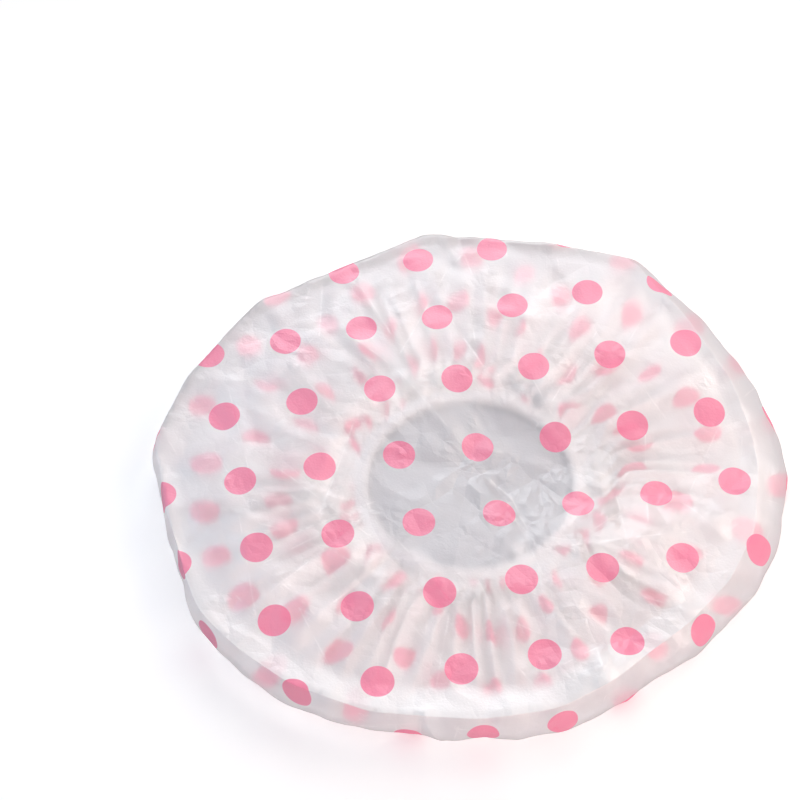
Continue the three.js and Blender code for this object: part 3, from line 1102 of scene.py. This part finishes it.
def film_material():
    material, tree = new_material("milky_printed_film")
    uv = node(tree, "ShaderNodeTexCoord").outputs["UV"]
    flat = scaled(tree, vector_node(tree, "SUBTRACT", uv, (0.5, 0.5, 0)), FLAT_SPAN)
    dots = {"Flat place": flat, "Diameter": DOT_DIAMETER}
    ink = node(tree, "ShaderNodeGroup", dots, node_tree=dot_print).outputs["Ink"]
    colour = colours_mixed(tree, ink, MILK, INK)
    height, line = film_relief(tree, flat)
    bump = shader_node(tree, "Bump", {"Height": height, "Strength": 1.0, "Distance": MM})
    body = shader_node(tree, "BsdfPrincipled", {
        "Base Color": colour, "Roughness": GLOSS_ROUGHNESS, "Normal": bump,
        "Specular IOR Level": 0.0})
    glow = shader_node(tree, "BsdfTranslucent", {"Color": colour, "Normal": bump})
    milk = shaders_mixed(tree, MILK_GLOW_SHARE, body, glow)
    blur = shader_node(tree, "BsdfRefraction", {
        "Color": PANE, "Roughness": BLUR_ROUGHNESS, "IOR": BLUR_IOR})
    clear = shader_node(tree, "BsdfTransparent", {"Color": PANE})
    behind = shaders_mixed(tree, CLEAR_SHARE, blur, clear)
    dull = shaders_mixed(tree, film_clearness(tree, flat, ink, line), milk, behind)
    gloss = shader_node(tree, "BsdfAnisotropic", {"Roughness": GLOSS_ROUGHNESS, "Normal": bump})
    mirrored = shader_node(tree, "Fresnel", {"IOR": FILM_IOR, "Normal": bump})
    mirrored = math_node(tree, "MINIMUM", mirrored, GLOSS_MOST)
    seen = shaders_mixed(tree, mirrored, dull, gloss)
    shade = shader_node(tree, "BsdfTransparent", {"Color": colours_mixed(tree, ink, *SHADE)})
    in_shadow = node(tree, "ShaderNodeLightPath").outputs["Is Shadow Ray"]
    final = shaders_mixed(tree, in_shadow, seen, shade)
    node(tree, "ShaderNodeOutputMaterial", {"Surface": final})
    return material


film.data.materials.append(film_material())
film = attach(film, "root")
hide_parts("printed_film")
print(len(film.data.materials[0].node_tree.nodes), "nodes in the film's finish")

# %% [markdown]
# # The binding
#
# A strip of soft white tape is folded over the film's gathered edge and the elastic, and
# sewn shut. In section it is a drop: round where the elastic fills it, and pinched to two
# lips where the seam holds the film. One section, swept round the mouth's oval, would do,
# but a tape over gathers is never even. So the section swells and dips a little on its way,
# and puckers between the stitches.

# %% Binding tape
TAPE_WALL = 0.45
TAPE_OUTLINE = [
    (6.4, 0.72), (6.2, 0.98), (5.4, 0.98), (4.7, 1.1), (4.0, 1.5), (3.1, 1.85), (2.1, 1.95),
    (1.2, 1.75), (0.45, 1.2), (0.1, 0.55), (0.0, 0.0),
]
LIP_CLEARANCE = 0.05
RING_STATIONS = 720
SEAM_OUTWARD = 0.5 * (BULGE_WIDTH + BINDING_WIDTH)
SEAM_SPREAD = 0.7
STITCH_PITCH = 2.4
LUMP_HEIGHT = 0.16
LUMP_SHARES = (0.25, 0.8)
PUCKER_DEPTH = 0.1
ring_angle = np.linspace(0, TURN, RING_STATIONS, endpoint=False)


def corners_cut(points):
    """The same open line with its corners cut."""
    near, far = 0.75 * points[:-1] + 0.25 * points[1:], 0.25 * points[:-1] + 0.75 * points[1:]
    middle = np.stack([near, far], axis=1).reshape(-1, points.shape[1])
    return np.concatenate([points[:1], middle, points[-1:]])


def tape_section():
    """Outer and inner face of the folded tape, as one closed line of [outward, height]."""
    upper = np.array(TAPE_OUTLINE)
    outer = corners_cut(np.concatenate([upper, upper[-2::-1] * [1, -1]]))
    way = unit(np.gradient(outer, axis=0))
    inner = outer - TAPE_WALL * np.stack([way[:, 1], -way[:, 0]], axis=-1)
    inner[:, 0] = np.minimum(inner[:, 0], BINDING_WIDTH - LIP_CLEARANCE)
    return np.concatenate([outer, inner[::-1]])


def ring_faces(stations, sides):
    """Four-sided faces of a closed ring of closed sections."""
    row, side = np.divmod(np.arange(stations * sides), sides)
    following = (row + 1) % stations
    next_side = (side + 1) % sides
    corners = [row * sides + side, row * sides + next_side,
               following * sides + next_side, following * sides + side]
    return np.stack(corners, axis=-1)


def binding_points(section):
    """The section swept round the mouth, with lumps and with puckers between stitches."""
    lumps = LUMP_HEIGHT * wander(ring_angle, (23, 31, 37, 47, 59), 51)[:, None]
    seam = np.exp(-((section[:, 0] - SEAM_OUTWARD) / SEAM_SPREAD) ** 2)
    stitches = round(math.pi * (MOUTH_HALF_WIDTH + MOUTH_HALF_DEPTH) / STITCH_PITCH)
    pucker = PUCKER_DEPTH * (0.5 + 0.5 * np.cos(stitches * ring_angle))[:, None] * seam
    height = section[:, 1] * (1 - pucker + LUMP_SHARES[0] * lumps)
    outward = section[:, 0] + LUMP_SHARES[1] * lumps * (section[:, 0] / BINDING_WIDTH)
    rows = [mouth_points(np.full(len(section), angle), out, RING_MIDDLE + up)
            for angle, out, up in zip(ring_angle, outward, height)]
    return np.concatenate(rows)


def turned_outward(made):
    """Turns every face of a closed piece outward."""
    shape = bmesh.new()
    shape.from_mesh(made.data)
    bmesh.ops.recalc_face_normals(shape, faces=shape.faces)
    shape.to_mesh(made.data)
    shape.free()
    return made


tape_line = tape_section()
tape_points = binding_points(tape_line)
tape_faces = ring_faces(RING_STATIONS, len(tape_line))
binding = turned_outward(mesh_object("binding_tape_folded", tape_points, tape_faces))
print("binding", len(tape_faces), "faces, reaching", np.round(tape_points.min(axis=0), 2),
      np.round(tape_points.max(axis=0), 2))

# %% [markdown]
# # Knitted surfaces
#
# Tape is knitted in wales, rows of small V-shaped loops that run along it. Here they have to
# run round the mouth. So the group turns a point's place into an angle round the mouth and
# a distance across the tape, up one face and down the other. A cosine along the wale makes
# the loops, leaning away from the middle of the wale on both sides, and a cosine across it
# makes the groove to the next one. The number of loops round is whole, so no seam shows.

# %% Knit group
LOOP_LENGTH_SHARE = 0.8
LOOP_LEAN = 1.1
FUZZ_SCALE = 2.5


def knit_group():
    takes = {"Place": "Vector", "Wale width": "Float", "Loops round": "Float", "Fuzz": "Float"}
    group, given = new_group("ShaderNodeTree", "knit", takes, {"Height": "Float"})
    place = vector_node(group, "SUBTRACT", given["Place"], (0, MOUTH_MIDDLE_Y, RING_MIDDLE))
    axes = node(group, "ShaderNodeSeparateXYZ", {0: place}).outputs
    turn = math_node(group, "DIVIDE", math_node(group, "ARCTAN2", axes["Y"], axes["X"]), TURN)
    outward = vector_node(group, "LENGTH", vector_node(group, "MULTIPLY", place, (1, 1, 0)))
    across = math_node(group, "ADD", outward, math_node(group, "ABSOLUTE", axes["Z"]))
    wale = math_node(group, "DIVIDE", across, given["Wale width"])
    off_middle = math_node(group, "SUBTRACT", wale, math_node(group, "ROUND", wale))
    lean = math_node(group, "MULTIPLY", math_node(group, "ABSOLUTE", off_middle), LOOP_LEAN)
    course = math_node(group, "MULTIPLY", turn, given["Loops round"])
    course = math_node(group, "MULTIPLY", math_node(group, "ADD", course, lean), TURN)
    loop = ramp_node(group, math_node(group, "COSINE", course), -1.0, 1.0)
    groove = math_node(group, "COSINE", math_node(group, "MULTIPLY", off_middle, math.pi))
    fuzz = noise(group, given["Place"], FUZZ_SCALE, 4.0)["Fac"]
    fuzz = math_node(group, "MULTIPLY", fuzz, given["Fuzz"])
    height = math_node(group, "ADD", math_node(group, "MULTIPLY", groove, loop), fuzz)
    node(group, "NodeGroupOutput", {"Height": height})
    return group


knit = knit_group()
print(len(knit.nodes), "nodes in the knit group")

# %% [markdown]
# # White goods
#
# Tape and elastic are the same kind of thing: white yarn with painted shade in the hollows
# between its loops, and a soft sheen of loose fibres at flat angles. One helper gives both,
# with their own wale width and roughness. The number of loops is set for the ring's length.

# %% Tape and elastic finish
RING_LENGTH = math.pi * (MOUTH_HALF_WIDTH + MOUTH_HALF_DEPTH + BINDING_WIDTH)
KNIT_DEPTH = 0.2


def fibre_finish(tree, colour, height, strength, depth, roughness, sheen, sheen_roughness):
    """The shader of anything made of yarn: a matt body with relief and a sheen."""
    bump = shader_node(tree, "Bump", {"Height": height, "Strength": strength, "Distance": depth * MM})
    body = shader_node(tree, "BsdfPrincipled", {
        "Base Color": colour, "Roughness": roughness, "Normal": bump,
        "Sheen Weight": sheen, "Sheen Roughness": sheen_roughness})
    node(tree, "ShaderNodeOutputMaterial", {"Surface": body})


def cloth_material(name, colour, painted_hollow_shade, wale_width, fuzz, roughness, sheen):
    """White goods: knit in the bump, and painted shade in its hollows."""
    material, tree = new_material(name)
    height = node(tree, "ShaderNodeGroup", {
        "Place": object_place(tree), "Wale width": wale_width, "Fuzz": fuzz,
        "Loops round": round(RING_LENGTH / (wale_width * LOOP_LENGTH_SHARE))},
        node_tree=knit).outputs["Height"]
    # Painted shade: the colour goes darker where the knit is low.
    unshaded_share = ramp_node(tree, height, 0.1, 0.9 + fuzz / 2)
    yarn = colours_mixed(tree, unshaded_share, painted_hollow_shade, colour)
    fibre_finish(tree, yarn, height, 0.7, KNIT_DEPTH, roughness, sheen, 0.4)
    return material


# The second colour is the painted shade in the knit's hollows.
tape_white = cloth_material("white_knitted_tape", srgb(250, 250, 249), srgb(222, 222, 224),
                            wale_width=0.9, fuzz=0.4, roughness=0.9, sheen=0.25)
binding.data.materials.append(tape_white)
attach(binding, "root")
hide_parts("binding_tape")
print("tape finished:", tape_white.name)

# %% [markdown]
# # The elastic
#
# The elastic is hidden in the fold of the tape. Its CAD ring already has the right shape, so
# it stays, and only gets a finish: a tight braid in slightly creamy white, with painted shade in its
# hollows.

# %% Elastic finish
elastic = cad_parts["elastic_band"]
# The second colour is the painted shade in the braid's hollows.
elastic_white = cloth_material("white_braided_elastic", srgb(240, 240, 235), srgb(214, 213, 206),
                               wale_width=0.6, fuzz=0.4, roughness=0.75, sheen=0.1)
elastic.data.materials.clear()
elastic.data.materials.append(elastic_white)
print("elastic finished:", elastic_white.name)

# %% [markdown]
# # Sewing thread
#
# Thread is twisted from a few plies, which show as slanting stripes of light and shade. A
# wave texture across the diagonal gives the stripes, both as colour and as relief.

# %% Thread finish
TWIST_SCALE = 1.6
TWIST_DEPTH = 0.1


def thread_material():
    material, tree = new_material("white_sewing_thread")
    twist = node(tree, "ShaderNodeTexWave", {
        "Vector": object_place(tree), "Scale": TWIST_SCALE, "Distortion": 0.6, "Detail": 1.0},
        wave_type="BANDS", bands_direction="DIAGONAL").outputs["Fac"]
    plies = colours_mixed(tree, twist, srgb(228, 228, 228), srgb(252, 252, 252))
    fibre_finish(tree, plies, twist, 0.6, TWIST_DEPTH, 0.5, 0.3, 0.3)
    return material


thread_white = thread_material()
print("thread finished:", thread_white.name)

# %% [markdown]
# # The seam
#
# A lockstitch shows the same on both sides: a row of short thread bars with a small gap at
# each needle hole. Over a hundred bars could be placed one by one in code, or by Geometry
# Nodes, which walk along a line and set one bar at each step. The nodes are used here,
# because their inputs, pitch and thickness, then fit any seam. Each bar is a long bead that
# sinks into the tape at its ends, and turns a little from its neighbours by chance.

# %% Nodes for a seam
BEAD_SEGMENTS = 8
BEAD_RINGS = 7


def seam_tree(material):
    """Geometry Nodes that set thread bars along a closed line."""
    takes = {"Line": "Geometry", "Pitch": "Float", "Gap": "Float", "Thickness": "Float",
             "Unevenness": "Float"}
    tree, given = new_group("GeometryNodeTree", "seam_of_bars", takes, {"Bars": "Geometry"})
    line = node(tree, "GeometryNodeMeshToCurve", {0: given["Line"]}).outputs[0]
    steps = node(tree, "GeometryNodeCurveToPoints", {
        "Curve": line, "Length": given["Pitch"]}, mode="LENGTH").outputs
    bead = node(tree, "GeometryNodeMeshUVSphere", {
        "Segments": BEAD_SEGMENTS, "Rings": BEAD_RINGS, "Radius": 0.5}).outputs["Mesh"]
    length = math_node(tree, "SUBTRACT", given["Pitch"], given["Gap"])
    size = node(tree, "ShaderNodeCombineXYZ", {
        0: given["Thickness"], 1: given["Thickness"], 2: length}).outputs[0]
    least = math_node(tree, "MULTIPLY", given["Unevenness"], -1.0)
    sway = node(tree, "FunctionNodeRandomValue", {
        "Min": least, "Max": given["Unevenness"], "Seed": 7}, data_type="FLOAT").outputs["Value"]
    sway = node(tree, "ShaderNodeCombineXYZ", {0: sway}).outputs[0]
    sway = node(tree, "FunctionNodeEulerToRotation", {0: sway}).outputs[0]
    facing = node(tree, "FunctionNodeRotateRotation", {
        0: steps["Rotation"], 1: sway}, rotation_space="LOCAL").outputs[0]
    bars = node(tree, "GeometryNodeInstanceOnPoints", {
        "Points": steps["Points"], "Instance": bead, "Rotation": facing, "Scale": size}).outputs[0]
    bars = node(tree, "GeometryNodeRealizeInstances", {0: bars}).outputs[0]
    bars = node(tree, "GeometryNodeSetShadeSmooth", {0: bars}).outputs[0]
    bars = node(tree, "GeometryNodeSetMaterial", {0: bars, "Material": material}).outputs[0]
    node(tree, "NodeGroupOutput", {0: bars})
    return tree


def applied(made, tree, values):
    """Runs a node tree on an object and keeps the result as a plain mesh."""
    modifier = made.modifiers.new("nodes", "NODES")
    modifier.node_group = tree
    for item in tree.interface.items_tree:
        if item.item_type == "SOCKET" and item.in_out == "INPUT" and item.name in values:
            modifier[item.identifier] = values[item.name]
    ready = made.evaluated_get(bpy.context.evaluated_depsgraph_get())
    mesh = bpy.data.meshes.new_from_object(ready)
    made.modifiers.clear()
    made.data = mesh
    return made


seam_nodes = seam_tree(thread_white)
print(len(seam_nodes.nodes), "nodes in the seam")

# %% [markdown]
# # Both threads
#
# The needle thread lies on top of the lips and the bobbin thread below them. Each is the
# same row of bars along the same oval, sunk a little into the tape.

# %% Needle thread and bobbin thread
THREAD_THICKNESS = 0.32
STITCH_GAP = 0.35
STITCH_UNEVENNESS = 0.05
SEAM_HEIGHT = 1.04


def seam(name, side, replaced):
    """One thread of the seam: side is 1 above the lips and -1 below."""
    line = mouth_points(ring_angle, SEAM_OUTWARD, RING_MIDDLE + side * SEAM_HEIGHT)
    mesh = bpy.data.meshes.new(name)
    loop = [(i, (i + 1) % RING_STATIONS) for i in range(RING_STATIONS)]
    mesh.from_pydata((line * MM).tolist(), loop, [])
    made = linked(name, mesh)
    applied(made, seam_nodes, {
        "Pitch": STITCH_PITCH * MM, "Gap": STITCH_GAP * MM, "Thickness": THREAD_THICKNESS * MM,
        "Unevenness": STITCH_UNEVENNESS})
    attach(made, "root")
    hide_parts(replaced)
    print(name, len(made.data.polygons), "faces")


seam("needle_thread_bars", 1, "needle_thread")
seam("bobbin_thread_bars", -1, "bobbin_thread")

# %% [markdown]
# # The folded tab
#
# Where the tape's two ends meet, the spare end is folded back on itself and tacked down, and
# sticks into the mouth as a small white tab. It is a strip swept along a hairpin. The tack
# pulls it in near its root, so the strip is narrowest there, and its free end droops.

# %% Folded tab
TAB_LENGTH = 7.0
TAB_WIDTH = 6.0
TAB_WALL = 0.5
TAB_FOLD_GAP = 0.5
TAB_ANGLE = -math.pi / 3
TAB_ROOT = 0.1
TAB_DROOP = 0.018
TAB_STEPS = 12
TAB_ROW_SHARES = [-0.5, -0.49, -0.44, -0.3, -0.1, 0.1, 0.3, 0.44, 0.49, 0.5]
TAB_EDGE_SHARES = [0.75, 0.35, 0.08, 0, 0, 0, 0, 0.08, 0.35, 0.75]
TACK_INSET = 1.4
TACK_REACH = 1.1
TACK_PINCH = 0.22
TACK_PRESS = 0.25


def at_tab(points):
    """Moves points drawn with x into the mouth, y across and z up, to the tab's place."""
    edge, out = mouth_points(np.array([TAB_ANGLE, TAB_ANGLE]), np.array([0.0, 1.0]), RING_MIDDLE)
    inward = edge - out
    across = np.array([-inward[1], inward[0], 0])
    return edge + points[:, :1] * inward + points[:, 1:2] * across + points[:, 2:] * [0, 0, 1]


def hairpin(offset):
    """The side view of the fold: a line at the given distance from its middle."""
    bend = TAB_LENGTH - TAB_WALL - TAB_FOLD_GAP / 2
    turn = np.linspace(np.pi / 2, -np.pi / 2, TAB_STEPS)
    upper = np.column_stack([np.linspace(0, bend, TAB_STEPS), np.full(TAB_STEPS, offset)])
    end = np.column_stack([bend + offset * np.cos(turn), offset * np.sin(turn)])[1:-1]
    return np.concatenate([upper, end, upper[::-1] * [1, -1]])


def tab_rows():
    """Closed sections of the tab, from one long edge to the other."""
    outer, inner = hairpin(TAB_WALL + TAB_FOLD_GAP / 2), hairpin(TAB_FOLD_GAP / 2)
    middle = 0.5 * (outer + inner)
    rows = []
    for place, ease in zip(TAB_ROW_SHARES, TAB_EDGE_SHARES):
        y = place * TAB_WIDTH
        section = [outer + ease * (middle - outer), (inner + ease * (middle - inner))[::-1]]
        x, up = np.concatenate(section).T
        tack = np.exp(-((x - TACK_INSET) / TACK_REACH) ** 2)
        across = y * (1 - TACK_PINCH * tack + 0.05 * np.sin(1.1 * x + 0.4))
        droop = -TAB_DROOP * x ** 2 + 0.12 * np.sin(0.8 * y + 0.5 * x)
        up = up * (1 - TACK_PRESS * tack) + droop * (x / TAB_LENGTH)
        rows.append(np.column_stack([x - TAB_ROOT, across, up]))
    return rows


def filled_tube(rows, sides):
    """Faces of a tube of closed sections, with both ends filled by strips."""
    side = np.arange(sides // 2 - 1)
    end = np.stack([side, side + 1, sides - 2 - side, sides - 1 - side], axis=-1)
    return np.concatenate([ring_faces(rows, sides)[:-sides], end, end + (rows - 1) * sides])


rows = tab_rows()
tab_points = at_tab(np.concatenate(rows))
tab_faces = filled_tube(len(rows), len(rows[0]))
tab = turned_outward(mesh_object("binding_join_tab_folded", tab_points, tab_faces))
tab.data.materials.append(tape_white)
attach(tab, "root")
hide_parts("binding_join_tab")
print("tab", np.round(tab_points.min(axis=0), 1), np.round(tab_points.max(axis=0), 1))

# %% [markdown]
# # The tack
#
# A few loops of thread, one beside the other, hold the tab folded. Thread pulled tight
# round a flat strip lies straight on its faces and turns sharply at its edges, so each loop
# is a rounded box and not a circle. A tube swept along it is enough, because a loop is only
# a third of a millimetre thick. The loops lean a little, each in its own way.

# %% Tack
TACK_LOOPS = 4
TACK_STEP = 0.4
TACK_LEAN = 0.3
TACK_POINTS = 48
TACK_SIDES = 8
BOX_POWER = 0.45


def tube(points):
    """Points of a closed tube of thread along a closed line."""
    way = unit(np.roll(points, -1, axis=0) - np.roll(points, 1, axis=0))
    out = points - points.mean(axis=0)
    out = unit(out - way * (out * way).sum(axis=1, keepdims=True))
    side = np.cross(way, out)
    turn = TURN * np.arange(TACK_SIDES) / TACK_SIDES
    rows = [points + THREAD_THICKNESS / 2 * (math.cos(t) * out + math.sin(t) * side) for t in turn]
    return np.stack(rows, axis=1).reshape(-1, 3)


def boxed(wave):
    """A cosine or sine wave with flat tops, which turns a circle into a rounded box."""
    return np.sign(wave) * np.abs(wave) ** BOX_POWER


turn = np.linspace(0, TURN, TACK_POINTS, endpoint=False)
half_width = TAB_WIDTH / 2 * (1 - TACK_PINCH) + THREAD_THICKNESS / 2
half_height = (1 - TACK_PRESS) * (TAB_WALL + TAB_FOLD_GAP / 2) + THREAD_THICKNESS / 2
y, z = half_width * boxed(np.cos(turn)), half_height * boxed(np.sin(turn))
loops = []
for number in range(TACK_LOOPS):
    lean = TACK_LEAN * math.sin(2.1 * number + 0.6)
    inset = TACK_INSET + (number - 0.5 * (TACK_LOOPS - 1)) * TACK_STEP
    loops.append(tube(np.column_stack([inset + lean * y / half_width, y, z])))
loop_faces = ring_faces(TACK_POINTS, TACK_SIDES)
tack_faces = np.concatenate([loop_faces + number * len(loops[0]) for number in range(TACK_LOOPS)])
tack = turned_outward(mesh_object("join_tack_stitches", at_tab(np.concatenate(loops)), tack_faces))
tack.data.materials.append(thread_white)
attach(tack, "root")
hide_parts("join_tack_thread")
print("tack of", TACK_LOOPS, "loops")

# %% [markdown]
# # The floor
#
# The cap lies on a plain pale table. A table white enough for a white picture would throw so
# much light up through the film that its shape would drown. So the table has two colours:
# grey for the light that it throws and for the film in front of it, and white for the eye,
# with the cap's soft shadow on it. Far out it turns into pure white, so no edge shows.

# %% Floor
FLOOR_HALF = 3000
FLOOR_LEVEL = -0.05
FLOOR_CORNERS = ((-1, -1), (1, -1), (1, 1), (-1, 1))
FLOOR_PLAIN = (0.39, 0.4, 0.435, 1)
FLOOR_SEEN = (1.18, 1.15, 1.13, 1)
FLOOR_FAR = (0.2, 0.4)
WHITE = (1, 1, 1, 1)


def seen_ray(tree, veiled_share):
    """1 for what the camera sees directly or in gloss, less through film, 0 for other light."""
    path = node(tree, "ShaderNodeLightPath").outputs
    seen = math_node(tree, "MAXIMUM", path["Is Camera Ray"], path["Is Glossy Ray"],
                     path["Is Transmission Ray"])
    scattered = math_node(tree, "MINIMUM", path["Diffuse Depth"], 1.0)
    seen = math_node(tree, "SUBTRACT", seen, math_node(tree, "MULTIPLY", seen, scattered))
    layers = math_node(tree, "ADD", path["Transparent Depth"], path["Transmission Depth"])
    layers = math_node(tree, "MINIMUM", layers, 1.0)
    veiled = math_node(tree, "MULTIPLY", layers, 1.0 - veiled_share)
    return math_node(tree, "SUBTRACT", seen, math_node(tree, "MULTIPLY", seen, veiled))


def floor_material():
    material, tree = new_material("white_floor")
    colour = colours_mixed(tree, seen_ray(tree, 0.0), FLOOR_PLAIN, FLOOR_SEEN)
    table = shader_node(tree, "BsdfDiffuse", {"Color": colour})
    reach = vector_node(tree, "LENGTH", node(tree, "ShaderNodeTexCoord").outputs["Object"])
    far = ramp_node(tree, reach, *FLOOR_FAR, kind="SMOOTHSTEP")
    white = shader_node(tree, "Emission", {"Color": WHITE, "Strength": 1.0})
    share = math_node(tree, "MULTIPLY", far, seen_ray(tree, 1.0))
    node(tree, "ShaderNodeOutputMaterial", {"Surface": shaders_mixed(tree, share, table, white)})
    return material


corners = [(x * FLOOR_HALF, y * FLOOR_HALF, FLOOR_LEVEL) for x, y in FLOOR_CORNERS]
floor = mesh_object("floor", corners, [(0, 1, 2, 3)])
floor.data.materials.append(floor_material())
print("floor", 2 * FLOOR_HALF * MM, "m wide")

# %% [markdown]
# # Sky and lamps
#
# Film shows its shape by soft gloss and by light from behind. The main lamp is a window on
# the far right, and a lower one behind the cap draws the creases. A warm lamp at the front
# lifts the wall, a weak blue one stands for open sky on the left, and a small one adds the
# sheen. Large lamps keep the gloss soft. The sky is white for the eye, and dim and cool as
# a light.

# %% Sky and lamps
SKY_COLOUR = (0.93, 0.95, 1.0, 1)
SKY_STRENGTH = 0.27
LAMPS = {
    "window_light": ((0.98, 0.65, 0.95), 0.9, 9.2, (1.0, 0.91, 0.84)),
    "low_window_light": ((-0.1, 1.2, 0.68), 0.8, 7.3, (0.97, 0.98, 1.0)),
    "front_light": ((0.55, -0.84, 0.35), 0.85, 8, (1.0, 0.82, 0.77)),
    "sky_light": ((-0.6, 0.0, 0.45), 0.6, 1.5, (0.4, 0.75, 1.0)),
    "sheen_light": ((0.1, 0.5, 0.85), 0.3, 0.8, (0.98, 0.98, 1.0)),
}
world = bpy.data.worlds.new("studio")
bpy.context.scene.world = world
world.use_nodes = True
world_tree = world.node_tree
world_tree.nodes.clear()
sky = shader_node(world_tree, "Background", {"Color": SKY_COLOUR, "Strength": SKY_STRENGTH})
white = shader_node(world_tree, "Background", {"Color": WHITE, "Strength": 1.0})
both = shaders_mixed(world_tree, seen_ray(world_tree, 1.0), sky, white)
node(world_tree, "ShaderNodeOutputWorld", {"Surface": both})
for name, (place, size, power, colour) in LAMPS.items():
    lamp = bpy.data.lights.new(name, "AREA")
    lamp.size = size
    lamp.energy = power
    lamp.color = colour
    pointed(name, lamp, place, -Vector(place))
bpy.context.scene.view_settings.view_transform = "Standard"
print(len(LAMPS), "lamps")
